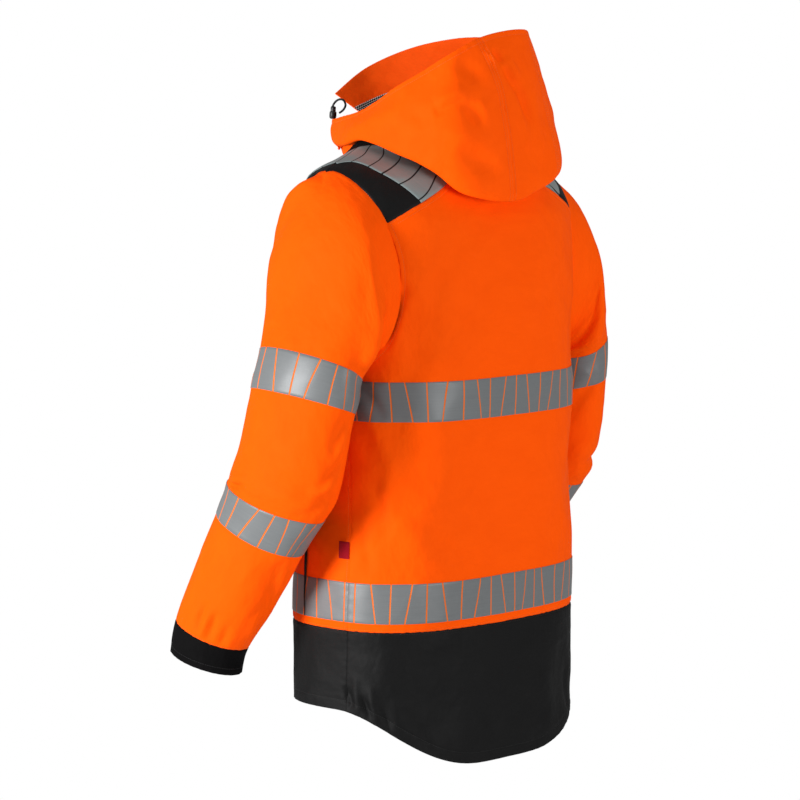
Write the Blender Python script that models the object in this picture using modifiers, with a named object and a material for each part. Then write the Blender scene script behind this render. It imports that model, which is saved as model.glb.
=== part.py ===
"""Hooded hi-vis work jacket in the hollow shape of a worn one, hood down.

Metres, +Z up. The wearer faces -Y and the wearer's left is +X. The origin is at the
base of the neck, where the jacket hangs from the shoulders.

The trunk is one smooth skin: a stack of rounded-square sections, given by SECTIONS.
A place on it is an angle around the trunk (0 = centre back, 90 = wearer's left,
180 = centre front) and a height. Every trunk piece is a patch of that skin between
named seams. Sleeves are lofts from the armhole through the rings of SLEEVE_RINGS,
and the hood is a loft through the profiles of HOOD_STATIONS.
"""

from collections import namedtuple
from math import radians

import bmesh
import bpy
import numpy as np
from mathutils import Matrix, Vector

# ---------------------------------------------------------------- driving sizes
CLOTH = 0.0020            # wall of shell fabric with its backing
TAPE_CLOTH = 0.0010       # wall of a reflective tape
LINING_CLOTH = 0.0010     # wall of the hood's facing and mesh lining
LINING_OFF = 0.0006       # they hang this far inside the hood
SEAM_GAP = 0.0003         # between neighbouring pieces
EDGE_INSET = 0.0002       # each patch edge draws back this far from its seam
HOOD_INSET = 0.0003       # the same on the hood's panels
YOKE_INSET = 0.0005       # the same on the yokes, whose edges run slantwise

HEM_SEAM_Z = -0.6180      # top of the dark hem panels
LOW_TAPE_Z = (-0.6070, -0.5570)
CHEST_TAPE_Z = (-0.3530, -0.3030)
TAIL_HEM_Z = -0.7950      # lowest point of the drop tail
SIDE_HEM_Z = -0.7200      # hem at the side seams and the front
SIDE_SEAM_ANGLE = 82.0    # side seam at the hem; it meets the armhole at 90
TAIL_START = 88.0         # the hem drops from here, in degrees from centre back
TAIL_SPREAD = 80.0        # and is at its lowest this many degrees further back
HEM_STEPS = 4             # rows of points down a hem panel

ARMHOLE_MID_Z = -0.1650
ARMHOLE_RISE = 0.1200     # half the armhole's height
ARMHOLE_REACH = 37.0      # half its width, in degrees around the trunk
ARMHOLE_FULLNESS = 0.0080     # how much squarer than an ellipse its two shoulders are
ARMHOLE_STEPS = 24        # seam points around one armhole
YOKE_TIP_STEP = 4         # the yoke's tips are this many points from the armhole top

NECK_BACK_Z = 0.0050
NECK_FRONT_Z = -0.0450
NECK_SCOOP = 4.0          # how late the neckline dips on its way to the front
YOKE_BACK_NECK_ANGLE = 12.0
YOKE_FRONT_NECK_ANGLE = 150.0
# Points (x, z) of the yoke's back seam; the first two are the ends of its tape.
YOKE_BACK_SEAM = ((0.1334, -0.0797), (0.0844, -0.0566), (0.0500, -0.0330),
                  (0.0270, -0.0120))
YOKE_FRONT_LEVELS = (-0.0900, -0.0760, -0.0620, -0.0480)
YOKE_RIDGE_PARTS = (0.0, 0.20, 0.62, 0.75, 0.88, 1.0)   # its rows over the shoulder

FRONT_EDGE_X = 0.0065     # half the width left open for the front zip
BACK_COLUMNS = 20
FRONT_COLUMNS = 12
SHARP_ANGLE = radians(40)

# ---------------------------------------------------------------- colours
ORANGE = (1.0, 0.115, 0.005, 1.0)
BLACK = (0.013, 0.013, 0.014, 1.0)
SILVER = (0.22, 0.225, 0.23, 1.0)
RED = (0.45, 0.01, 0.02, 1.0)
PLASTIC = (0.008, 0.008, 0.008, 1.0)

# ---------------------------------------------------------------- tables
Section = namedtuple("Section", "z half_width half_depth y_mid squareness")
SECTIONS = (
    Section(-0.800, 0.203, 0.130, 0.003, 2.70),
    Section(-0.720, 0.202, 0.130, 0.003, 2.70),
    Section(-0.600, 0.199, 0.131, 0.003, 2.80),
    Section(-0.480, 0.192, 0.132, 0.005, 2.90),
    Section(-0.360, 0.187, 0.132, 0.006, 3.00),
    Section(-0.240, 0.189, 0.132, 0.006, 3.00),
    Section(-0.160, 0.196, 0.131, 0.006, 2.80),
    Section(-0.100, 0.201, 0.126, 0.004, 2.60),
    Section(-0.070, 0.201, 0.118, 0.001, 2.30),
    Section(-0.050, 0.197, 0.111, -0.003, 1.90),
    Section(-0.040, 0.188, 0.106, -0.006, 1.60),
    Section(-0.028, 0.158, 0.099, -0.010, 1.38),
    Section(-0.015, 0.120, 0.092, -0.015, 1.45),
    Section(0.000, 0.092, 0.086, -0.019, 1.80),
    Section(0.010, 0.080, 0.082, -0.020, 2.00),
)

# A soft trough in the trunk from one place to another; a negative depth is a ridge.
TrunkFold = namedtuple("TrunkFold", "angle_a z_a angle_b z_b width depth")
TRUNK_FOLDS = (
    TrunkFold(50, -0.20, 42, -0.30, 0.030, 0.006),
    TrunkFold(62, -0.30, 40, -0.46, 0.036, 0.007),
    TrunkFold(-50, -0.21, -40, -0.31, 0.030, 0.005),
    TrunkFold(-60, -0.38, -34, -0.50, 0.040, 0.006),
    TrunkFold(20, -0.44, -24, -0.52, 0.050, 0.004),
    TrunkFold(70, -0.50, 44, -0.56, 0.034, 0.005),
    TrunkFold(128, -0.22, 140, -0.34, 0.034, 0.006),
    TrunkFold(-130, -0.24, -142, -0.36, 0.034, 0.005),
    TrunkFold(118, -0.40, 150, -0.52, 0.040, 0.006),
    TrunkFold(-114, -0.44, -150, -0.50, 0.040, 0.006),
    TrunkFold(30, -0.64, 24, -0.76, 0.036, 0.005),
    TrunkFold(-28, -0.66, -34, -0.76, 0.036, 0.004),
    TrunkFold(110, -0.62, 106, -0.71, 0.036, 0.005),
    TrunkFold(-112, -0.62, -118, -0.71, 0.036, 0.005),
)

# One ring of the left sleeve: its outer and inner ends seen from the front, the
# middle and half of its depth, and how far its plane leans forward, in degrees.
Ring = namedtuple("Ring", "name outer_x outer_z inner_x inner_z y_mid half_depth lean steps")
SLEEVE_RINGS = (
    Ring("cap", 0.2170, -0.0740, 0.1950, -0.2875, 0.008, 0.0930, 0, 2),
    Ring("shoulder", 0.2400, -0.1250, 0.1985, -0.2905, 0.012, 0.0930, 2, 2),
    Ring("upper_arm", 0.2600, -0.2000, 0.1995, -0.2945, 0.014, 0.0880, 4, 2),
    Ring("upper_tape_top", 0.2820, -0.2590, 0.2000, -0.3000, 0.012, 0.0820, 5, 2),
    Ring("upper_tape_end", 0.2920, -0.3110, 0.2000, -0.3410, 0.004, 0.0790, 5, 2),
    Ring("mid_arm", 0.3000, -0.3850, 0.2020, -0.3980, -0.009, 0.0790, 8, 2),
    Ring("elbow", 0.3040, -0.4300, 0.2045, -0.4350, -0.023, 0.0800, 12, 1),
    Ring("lower_tape_top", 0.3000, -0.4540, 0.2060, -0.4540, -0.037, 0.0760, 17, 1),
    Ring("lower_tape_end", 0.2980, -0.4950, 0.2090, -0.4960, -0.065, 0.0690, 22, 2),
    Ring("forearm", 0.2980, -0.5650, 0.2110, -0.5700, -0.108, 0.0640, 24, 2),
    Ring("cuff_seam", 0.2960, -0.6320, 0.2130, -0.6380, -0.151, 0.0550, 18, 2),
    Ring("cuff_end", 0.2960, -0.6690, 0.2160, -0.6740, -0.160, 0.0530, 14, 2),
)

# Troughs across a sleeve: ring row and angle of both ends, width and depth.
SleeveFold = namedtuple("SleeveFold", "row_a angle_a row_b angle_b width depth")
SLEEVE_FOLDS = (
    SleeveFold(1.4, 100, 2.8, 150, 0.026, 0.007),
    SleeveFold(3.2, 60, 4.6, 120, 0.030, 0.006),
    SleeveFold(6.6, 20, 7.0, 110, 0.014, 0.007),
    SleeveFold(5.4, 200, 7.4, 280, 0.030, 0.008),
    SleeveFold(9.4, 40, 10.4, 110, 0.024, 0.005),
    SleeveFold(2.6, 240, 4.8, 300, 0.032, 0.006),
    SleeveFold(0.60, 276, 0.45, 356, 0.020, -0.014),
)
SLEEVE_HEAD_ROW = 0.5     # the folds grow from nothing at the armhole to here

# One profile of the hood: its rim, its outside and its underside as points, and the
# place around the collar where it is sewn on.
Station = namedtuple("Station", "rim belly fold under neck_angle")
HOOD_STATIONS = (
    Station((0.046, -0.134, 0.018), (0.056, -0.128, 0.004), (0.062, -0.119, -0.010),
            (0.060, -0.111, -0.018), 144),
    Station((0.075, -0.088, 0.024), (0.090, -0.080, 0.006), (0.098, -0.072, -0.012),
            (0.093, -0.061, -0.014), 112),
    Station((0.095, -0.031, 0.035), (0.116, -0.022, 0.014), (0.120, -0.014, -0.004),
            (0.108, -0.012, -0.004), 80),
    Station((0.106, 0.034, 0.0627), (0.124, 0.046, 0.026), (0.122, 0.054, -0.019),
            (0.107, 0.046, -0.018), 56),
    Station((0.100, 0.072, 0.082), (0.114, 0.090, 0.034), (0.112, 0.096, -0.035),
            (0.092, 0.082, -0.030), 38),
    Station((0.085, 0.105, 0.1035), (0.091, 0.126, 0.042), (0.086, 0.134, -0.063),
            (0.068, 0.110, -0.052), 24),
    Station((0.045, 0.1207, 0.124), (0.031, 0.146, 0.054), (0.023, 0.160, -0.072),
            (0.020, 0.130, -0.062), 8),
    Station((0.000, 0.127, 0.133), (-0.010, 0.149, 0.058), (-0.016, 0.167, -0.060),
            (-0.010, 0.134, -0.056), -3),
    Station((-0.045, 0.1196, 0.134), (-0.054, 0.139, 0.060), (-0.060, 0.163, -0.046),
            (-0.040, 0.128, -0.049), -14),
    Station((-0.085, 0.085, 0.129), (-0.094, 0.112, 0.052), (-0.096, 0.136, -0.038),
            (-0.072, 0.108, -0.038), -24),
    Station((-0.098, 0.030, 0.124), (-0.118, 0.066, 0.045), (-0.116, 0.094, -0.028),
            (-0.094, 0.080, -0.022), -38),
    Station((-0.098, -0.045, 0.123), (-0.128, 0.010, 0.048), (-0.124, 0.050, -0.014),
            (-0.108, 0.046, -0.013), -56),
    Station((-0.086, -0.115, 0.110), (-0.118, -0.070, 0.045), (-0.122, -0.024, 0.000),
            (-0.108, -0.016, -0.002), -80),
    Station((-0.056, -0.168, 0.084), (-0.088, -0.130, 0.034), (-0.102, -0.084, -0.002),
            (-0.095, -0.064, -0.011), -112),
    Station((-0.016, -0.188, 0.050), (-0.046, -0.162, 0.020), (-0.062, -0.128, -0.006),
            (-0.060, -0.112, -0.017), -144),
)
HOOD_LEFT_SEAM = 6        # station of the seam between the left and centre panels
HOOD_RIGHT_SEAM = 8
HOOD_ROWS = 10            # steps down one profile
FACING_ROWS = 3           # of them, the rows that the orange facing inside covers
LINING_END_ROW = 6        # where the mesh lining ends

COLLAR_HALF_WIDTH = 0.0660
COLLAR_HALF_DEPTH = 0.1020
COLLAR_Y_MID = -0.0500
COLLAR_MID_Z = 0.0310
COLLAR_SLOPE = 0.0210     # the back of the collar stands this much above the middle
COLLAR_BULGE = 0.0030
COLLAR_COLUMNS = 24
COLLAR_ROWS = 3
COLLAR_STEP = (1.0, 0.02)     # degrees and parts of its height, to read a normal from
COLLAR_FOOT_RAISE = 0.04      # part of its first row left free over the panels' edge
HOOD_SEAM_PART = 0.30     # how far up the collar the hood is sewn on
HOOD_SEAM_OFF = 0.0055    # room for the hood's own walls there

CORD_DIAMETER = 0.0028
CORD_STEPS = 3            # points for each stretch of a cord's route
LOCK_RADIUS = 0.0045
LOCK_HEIGHT = 0.0160
LOCK_SIDES = 12
LOCK_ROUNDING = 0.0016
HoodCord = namedtuple("HoodCord", "route lock lean")
LEFT_CORD = HoodCord(
    route=((0.0478, -0.1310, 0.0366), (0.0495, -0.1240, 0.0420), (0.0515, -0.1150, 0.0445),
           (0.0530, -0.1070, 0.0430), (0.0540, -0.1030, 0.0370), (0.0550, -0.1060, 0.0310),
           (0.0560, -0.1120, 0.0270)),
    lock=(0.0470, -0.1320, 0.0270), lean=(radians(-8), radians(4), 0.0))
RIGHT_CORD = HoodCord(
    route=((-0.0560, -0.1745, 0.0600), (-0.0580, -0.1800, 0.0590), (-0.0625, -0.1810, 0.0560),
           (-0.0670, -0.1770, 0.0520), (-0.0700, -0.1720, 0.0460)),
    lock=(-0.0705, -0.1705, 0.0360), lean=(radians(-6), radians(-4), 0.0))

ZIP_PROUD = 0.0004
ZIP_THICKNESS = 0.0024
ZIP_TRUNK_STEPS = 16
ZIP_COLLAR_STEPS = 3
SLIDER_PART = 0.80        # how far up the collar the closed zip's slider is
SLIDER_STEP = 0.1         # part of the collar's height that gives the slider's lean
SLIDER_SIZE = (0.0090, 0.0130, 0.0030)
SLIDER_ROUNDING = 0.0012
TAB_SIZE = (0.0070, 0.0016, 0.0280)
TAB_ROUNDING = 0.0006
TAB_HEAD = 0.0016         # from the tab's hinge line to its top end
TAB_CLEAR = 0.0018

POCKET_ROWS = (1, 2, 3, 4, 5)
POCKET_COLUMNS = (2.45, 2.65)
POCKET_WALL = 0.0012
LABEL_ROWS = (2.90, 3.00, 3.52)
LABEL_COLUMNS = (0.04, 0.60)
LABEL_WALL = 0.0008
LABEL_LIFT = 0.0006

COLLECTION = bpy.data.collections.new("hi_vis_work_jacket")


# ---------------------------------------------------------------- small helpers
def clear_scene():
    for item in list(bpy.data.objects):
        bpy.data.objects.remove(item, do_unlink=True)
    bpy.context.scene.collection.children.link(COLLECTION)


def material(name, colour, roughness):
    made = bpy.data.materials.get(name)
    if made is None:
        made = bpy.data.materials.new(name)
        made.use_nodes = True
        shader = made.node_tree.nodes["Principled BSDF"]
        shader.inputs["Base Color"].default_value = colour
        shader.inputs["Roughness"].default_value = roughness
    return made


def finish_for(name):
    finishes = {
        "orange": ("orange_shell_cloth", ORANGE, 0.75),
        "black": ("black_shell_cloth", BLACK, 0.80),
        "tape": ("reflective_tape", SILVER, 0.40),
        "mesh": ("black_mesh_lining", BLACK, 0.90),
        "red": ("red_woven_label", RED, 0.60),
        "plastic": ("black_plastic", PLASTIC, 0.45),
        "cord": ("black_elastic_cord", BLACK, 0.85),
    }
    title, colour, roughness = finishes[name]
    return material(title, colour, roughness)


def add_object(name, mesh, finish):
    made = bpy.data.objects.new(name, mesh)
    mesh.materials.append(finish_for(finish))
    COLLECTION.objects.link(made)
    return made


def unit(vectors):
    return vectors / np.linalg.norm(vectors, axis=-1, keepdims=True)


def spline_rows(knots, at):
    """Catmull-Rom through knots (first axis), read at the row numbers in at."""
    knots = np.asarray(knots, dtype=float)
    at = np.clip(np.asarray(at, dtype=float), 0.0, len(knots) - 1.0)
    cell = np.minimum(at.astype(int), len(knots) - 2)
    part = at - cell
    before = knots[np.maximum(cell - 1, 0)]
    start = knots[cell]
    end = knots[cell + 1]
    after = knots[np.minimum(cell + 2, len(knots) - 1)]
    part = part.reshape(part.shape + (1,) * (start.ndim - part.ndim))
    return 0.5 * (2 * start + (end - before) * part
                  + (2 * before - 5 * start + 4 * end - after) * part ** 2
                  + (3 * start - before - 3 * end + after) * part ** 3)


def trough(distance_along, distance_across, width):
    """1 in the middle of a fold, fading to 0 across it and towards its two ends."""
    ends = np.clip(1.0 - np.abs(distance_along * 2.0 - 1.0), 0.0, 1.0)
    return np.exp(-(distance_across / width) ** 2) * np.sin(ends * np.pi / 2.0) ** 0.7


def segment_distance(u, v, start, end):
    """How far along a segment each point (u, v) lies, 0 to 1, and how far off it."""
    du, dv = end[0] - start[0], end[1] - start[1]
    length = np.hypot(du, dv)
    along = ((u - start[0]) * du + (v - start[1]) * dv) / length ** 2
    nearest = np.clip(along, 0.0, 1.0)
    across = np.hypot(u - start[0] - nearest * du, v - start[1] - nearest * dv)
    return nearest, across


# ---------------------------------------------------------------- the trunk's skin
SECTION_Z = np.array([row.z for row in SECTIONS])
SECTION_SIZES = np.array([row[1:] for row in SECTIONS])
TRUNK_ARC = 0.165         # metres of cloth for each radian around the trunk
SMOOTH_STEP = (1.0, 0.004)    # degrees and metres to the places a normal is read from
FOLDED_STEP = (1.5, 0.006)    # the same on the folded skin


def section_sizes(z):
    row = np.interp(z, SECTION_Z, np.arange(len(SECTIONS)))
    return np.moveaxis(spline_rows(SECTION_SIZES, row), -1, 0)


def smooth_trunk(angle, z):
    half_width, half_depth, y_mid, squareness = section_sizes(z)
    turn = np.radians(angle)
    power = 2.0 / squareness
    x = half_width * np.sign(np.sin(turn)) * np.abs(np.sin(turn)) ** power
    y = y_mid + half_depth * np.sign(np.cos(turn)) * np.abs(np.cos(turn)) ** power
    return np.stack([x, y, z + 0.0 * x], axis=-1)


def fold_depth(angle, z):
    depth = np.zeros_like(angle, dtype=float)
    for fold in TRUNK_FOLDS:
        start = (radians(fold.angle_a) * TRUNK_ARC, fold.z_a)
        end = (radians(fold.angle_b) * TRUNK_ARC, fold.z_b)
        along, across = segment_distance(np.radians(angle) * TRUNK_ARC, z, start, end)
        depth += fold.depth * trough(along, across, fold.width)
    return depth


def grid_normals(surface, u, v, step_u, step_v):
    across = surface(u + step_u, v) - surface(u - step_u, v)
    along = surface(u, v + step_v) - surface(u, v - step_v)
    return unit(np.cross(along, across))


def folded_trunk(angle, z):
    normals = grid_normals(smooth_trunk, angle, z, *SMOOTH_STEP)
    return smooth_trunk(angle, z) - normals * fold_depth(angle, z)[..., None]


def trunk_skin(angle, z):
    """Points of the trunk's outside and its outward normals."""
    angle = np.asarray(angle, dtype=float)
    z = np.asarray(z, dtype=float)
    return folded_trunk(angle, z), grid_normals(folded_trunk, angle, z, *FOLDED_STEP)


def angle_at(x, z, front=False):
    """The angle at which the smooth trunk has a given x at a height."""
    half_width, _, _, squareness = section_sizes(np.asarray(z, dtype=float))
    sine = np.clip(abs(x) / half_width, 0.0, 1.0) ** (squareness / 2.0)
    turn = float(np.degrees(np.arcsin(sine)))
    return 180.0 - turn if front else turn


# ---------------------------------------------------------------- seams
def side_seam(z):
    part = (z - HEM_SEAM_Z) / (ARMHOLE_MID_Z - ARMHOLE_RISE - HEM_SEAM_Z)
    return SIDE_SEAM_ANGLE + (90.0 - SIDE_SEAM_ANGLE) * min(max(part, 0.0), 1.0) ** 2


def armhole_seam(step):
    """(angle, z) of one seam point; step 0 is the top, positive steps run to the back."""
    turn = 2.0 * np.pi * step / ARMHOLE_STEPS
    from_top = abs((turn + np.pi) % (2.0 * np.pi) - np.pi)
    fuller = ARMHOLE_FULLNESS * np.sin(min(3.0 * from_top, np.pi))
    height = ARMHOLE_RISE * np.cos(turn) + fuller
    return 90.0 - ARMHOLE_REACH * np.sin(turn), ARMHOLE_MID_Z + height


def neckline(angle):
    """Height of the neckline: level behind and at the sides, scooped out in front."""
    towards_front = (1.0 - np.cos(np.radians(angle))) / 2.0
    return NECK_BACK_Z + (NECK_FRONT_Z - NECK_BACK_Z) * towards_front ** NECK_SCOOP


def hem(angle):
    """Height of the hem: level in front, dropping to the tail behind."""
    turn = (np.asarray(angle, dtype=float) + 180.0) % 360.0 - 180.0
    part = np.clip((TAIL_START - np.abs(turn)) / TAIL_SPREAD, 0.0, 1.0)
    return SIDE_HEM_Z + (TAIL_HEM_Z - SIDE_HEM_Z) * part ** 2 * (3.0 - 2.0 * part)


def yoke_front_points():
    """Seam points (x, z) on a straight line from the armhole to the neckline."""
    tip_angle, tip_z = armhole_seam(-YOKE_TIP_STEP)
    neck_z = float(neckline(YOKE_FRONT_NECK_ANGLE))
    tip_x = float(smooth_trunk(np.array(tip_angle), np.array(tip_z))[0])
    neck_x = float(smooth_trunk(np.array(YOKE_FRONT_NECK_ANGLE), np.array(neck_z))[0])
    slope = (neck_x - tip_x) / (neck_z - tip_z)
    return [(tip_x + slope * (level - tip_z), level) for level in YOKE_FRONT_LEVELS]


def yoke_seam(front=False):
    """Seam points from the armhole tip to the neckline, as (angle, z)."""
    tip = armhole_seam(-YOKE_TIP_STEP if front else YOKE_TIP_STEP)
    neck_angle = YOKE_FRONT_NECK_ANGLE if front else YOKE_BACK_NECK_ANGLE
    points = yoke_front_points() if front else YOKE_BACK_SEAM
    between = [(angle_at(x, z, front), z) for x, z in points]
    return [tip, *between, (neck_angle, float(neckline(neck_angle)))]


def front_edge(z):
    return angle_at(FRONT_EDGE_X, z, front=True)


# ---------------------------------------------------------------- cloth walls
def draw_back(points, inset):
    """Move the outer rows and columns of a grid of points inwards by inset."""
    rows, columns = points.shape[:2]
    moved = points.copy()
    for edge, inner in ((0, 1), (rows - 1, rows - 2)):
        moved[edge] += unit(points[inner] - points[edge]) * inset
    middle = moved.copy()
    for edge, inner in ((0, 1), (columns - 1, columns - 2)):
        moved[:, edge] += unit(middle[:, inner] - middle[:, edge]) * inset
    return moved


def grid_faces(rows, columns, start, flip, closed):
    faces = []
    span = columns if closed else columns - 1
    for row in range(rows - 1):
        for column in range(span):
            beside = (column + 1) % columns
            a = start + row * columns + column
            b = start + row * columns + beside
            c = start + (row + 1) * columns + beside
            d = start + (row + 1) * columns + column
            # Both triangles share the same diagonal on a panel and on what lies on it.
            for face in ((a, b, c), (a, c, d)):
                faces.append(face[::-1] if flip else face)
    return faces


def cloth_wall(name, outside, inside, finish, closed=False):
    """A closed wall between two matching grids of points; closed joins its sides."""
    rows, columns = outside.shape[:2]
    points = np.concatenate([outside.reshape(-1, 3), inside.reshape(-1, 3)])
    below = rows * columns
    faces = grid_faces(rows, columns, 0, False, closed)
    faces += grid_faces(rows, columns, below, True, closed)
    span = columns if closed else columns - 1
    for row, flip in ((0, True), (rows - 1, False)):
        for column in range(span):
            a = row * columns + column
            b = row * columns + (column + 1) % columns
            face = [a, b, b + below, a + below]
            faces.append(face if flip else face[::-1])
    if not closed:
        for column, flip in ((0, False), (columns - 1, True)):
            for row in range(rows - 1):
                a = row * columns + column
                b = (row + 1) * columns + column
                face = [a, b, b + below, a + below]
                faces.append(face if flip else face[::-1])
    mesh = bpy.data.meshes.new(name)
    mesh.from_pydata([Vector(point) for point in points], [], faces)
    mesh.update()
    shape = bmesh.new()
    shape.from_mesh(mesh)
    bmesh.ops.recalc_face_normals(shape, faces=shape.faces)
    shape.to_mesh(mesh)
    shape.free()
    mesh.shade_smooth()
    mesh.set_sharp_from_angle(angle=SHARP_ANGLE)
    return add_object(name, mesh, finish)


def mirrored(points):
    return points * np.array([-1.0, 1.0, 1.0])


def trunk_piece(name, angle, z, finish, side=1, lift=0.0, wall=CLOTH, inset=EDGE_INSET):
    """A patch of the trunk; lift raises it clear of the panel that it is sewn on."""
    points, normals = trunk_skin(angle * side, z)
    points = points + normals * lift
    outside = draw_back(points, inset)
    cloth_wall(name, outside, outside - normals * wall, finish)


def sewn_on(wall):
    """Lift of the outer face of a piece that lies on a panel."""
    return SEAM_GAP + wall


# ---------------------------------------------------------------- trunk panels
LOWER_LEVELS = (HEM_SEAM_Z, LOW_TAPE_Z[0], LOW_TAPE_Z[1], -0.524, -0.490, -0.456, -0.423,
                -0.390, CHEST_TAPE_Z[0], CHEST_TAPE_Z[1])
LOW_TAPE_ROW = LOWER_LEVELS.index(LOW_TAPE_Z[0])
CHEST_TAPE_ROW = LOWER_LEVELS.index(CHEST_TAPE_Z[0])


def outline_rows(front):
    """The (angle, z) of a panel's side edge, from the hem seam to the neckline."""
    rows = [(side_seam(z), z) for z in LOWER_LEVELS]
    sign = -1 if front else 1
    for step in range(ARMHOLE_STEPS // 2, YOKE_TIP_STEP, -1):
        rows.append(armhole_seam(sign * step))
    return rows + yoke_seam(front)


def back_grid():
    edge = outline_rows(front=False)
    spread = np.linspace(-1.0, 1.0, BACK_COLUMNS + 1)
    angle = np.array([spread * row[0] for row in edge])
    z = np.array([np.full(BACK_COLUMNS + 1, row[1]) for row in edge])
    z[-1] = neckline(angle[-1])
    return angle, z


def front_grid():
    edge = outline_rows(front=True)
    spread = np.linspace(0.0, 1.0, FRONT_COLUMNS + 1)
    angle = np.zeros((len(edge), FRONT_COLUMNS + 1))
    z = np.zeros_like(angle)
    neck_z = float(neckline(180.0))
    tip = len(edge) - len(YOKE_FRONT_LEVELS) - 2
    tip_z = edge[tip][1]
    for number, (start, level) in enumerate(edge):
        # Above the yoke's tip the rows fan out to meet the lower neckline in front.
        rise = (number - tip) / (len(edge) - 1 - tip)
        end_z = level if rise < 0.0 else tip_z + (neck_z - tip_z) * rise
        z[number] = level + (end_z - level) * spread
        angle[number] = start + (front_edge(end_z) - start) * spread
    z[-1] = neckline(angle[-1])
    return angle, z


def build_back():
    angle, z = back_grid()
    trunk_piece("back_panel", angle, z, "orange")
    for name, row in (("lower_tape_back", LOW_TAPE_ROW), ("chest_tape_back", CHEST_TAPE_ROW)):
        trunk_piece(name, angle[row:row + 2], z[row:row + 2], "tape",
                    lift=sewn_on(TAPE_CLOTH), wall=TAPE_CLOTH)


def build_fronts():
    angle, z = front_grid()
    for side, hand in ((1, "left"), (-1, "right")):
        trunk_piece("front_panel_" + hand, angle, z, "orange", side)
        for part, row in (("lower", LOW_TAPE_ROW), ("chest", CHEST_TAPE_ROW)):
            trunk_piece(part + "_tape_front_" + hand, angle[row:row + 2], z[row:row + 2],
                        "tape", side, lift=sewn_on(TAPE_CLOTH), wall=TAPE_CLOTH)


def hem_rows(angles):
    part = np.linspace(0.0, 1.0, HEM_STEPS + 1)[:, None]
    angle = np.repeat(angles[None, :], HEM_STEPS + 1, axis=0)
    low = hem(angles)[None, :]
    return angle, low + (HEM_SEAM_Z - low) * part


def build_hem_panels():
    back_edge = side_seam(HEM_SEAM_Z)
    angle, z = hem_rows(np.linspace(-back_edge, back_edge, BACK_COLUMNS + 1))
    trunk_piece("hem_panel_back", angle, z, "black")
    edge = front_edge(HEM_SEAM_Z)
    angle, z = hem_rows(np.linspace(back_edge, edge, FRONT_COLUMNS + 1))
    for side, hand in ((1, "left"), (-1, "right")):
        trunk_piece("hem_panel_front_" + hand, angle, z, "black", side)


def yoke_grid():
    """A four-sided patch: the armhole top, the two yoke seams and the neckline."""
    arc = [armhole_seam(step) for step in range(YOKE_TIP_STEP, -YOKE_TIP_STEP - 1, -1)]
    back = yoke_seam(front=False)
    front = yoke_seam(front=True)
    neck_angles = np.linspace(YOKE_BACK_NECK_ANGLE, YOKE_FRONT_NECK_ANGLE, len(arc))
    neck = [(a, float(neckline(a))) for a in neck_angles]
    arc, back, front, neck = (np.array(edge) for edge in (arc, back, front, neck))
    rows = len(back)
    across = np.linspace(0.0, 1.0, len(arc))[None, :, None]
    level = np.linspace(0.0, 1.0, rows)
    # The rows lie closer to the armhole over the shoulder, as the straight tape does.
    ridge = np.array(YOKE_RIDGE_PARTS)[:, None, None]
    up = level[:, None, None] + (ridge - level[:, None, None]) * np.sin(np.pi * across)

    def along(seam):
        read = [np.interp(up[..., 0], level, seam[:, axis]) for axis in (0, 1)]
        return np.stack(read, axis=-1)

    sides = along(back) * (1 - across) + along(front) * across
    ends = arc[None] * (1 - up) + neck[None] * up
    corners = ((arc[0] * (1 - up) + neck[0] * up) * (1 - across)
               + (arc[-1] * (1 - up) + neck[-1] * up) * across)
    patch = sides + ends - corners
    return patch[..., 0], patch[..., 1]


def build_yokes():
    angle, z = yoke_grid()
    for side, hand in ((1, "left"), (-1, "right")):
        trunk_piece("shoulder_yoke_" + hand, angle, z, "black", side, inset=YOKE_INSET)
        trunk_piece("shoulder_tape_" + hand, angle[1:3], z[1:3], "tape", side,
                    lift=sewn_on(TAPE_CLOTH), wall=TAPE_CLOTH, inset=YOKE_INSET)


# ---------------------------------------------------------------- sleeves
def armhole_ring(columns):
    """The sleeve's head: the armhole's points, drawn back from the panels."""
    steps = np.arange(columns) * ARMHOLE_STEPS / columns
    points = [armhole_seam(step) for step in steps]
    angle = np.array([point[0] for point in points])
    z = np.array([point[1] for point in points])
    return smooth_trunk(angle, z)


def sleeve_rings(columns):
    turn = 2.0 * np.pi * np.arange(columns) / columns
    rings = [armhole_ring(columns)]
    for ring in SLEEVE_RINGS:
        outer = np.array([ring.outer_x, ring.y_mid, ring.outer_z])
        inner = np.array([ring.inner_x, ring.y_mid, ring.inner_z])
        lean = radians(ring.lean)
        deep = np.array([0.0, np.cos(lean), -np.sin(lean)]) * ring.half_depth
        middle, half = (outer + inner) / 2.0, (outer - inner) / 2.0
        rings.append(middle + np.cos(turn)[:, None] * half + np.sin(turn)[:, None] * deep)
    return np.array(rings)


def sleeve_rows(first, last):
    rows = [float(first)]
    for number in range(first, last):
        steps = SLEEVE_RINGS[number].steps
        rows += [number + (part + 1.0) / steps for part in range(steps)]
    return np.array(rows)


def ring_row(name):
    """Row of a named ring; row 0 is the armhole."""
    return [ring.name for ring in SLEEVE_RINGS].index(name) + 1


SLEEVE_COLUMNS = ARMHOLE_STEPS
SLEEVE_ARC = 0.072        # metres of cloth for each radian around a sleeve
SLEEVE_ROW_LENGTH = 0.055     # metres for each ring row, near enough for the folds
ROW_STEP = 0.05           # rows to the places a normal is read from


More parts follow.
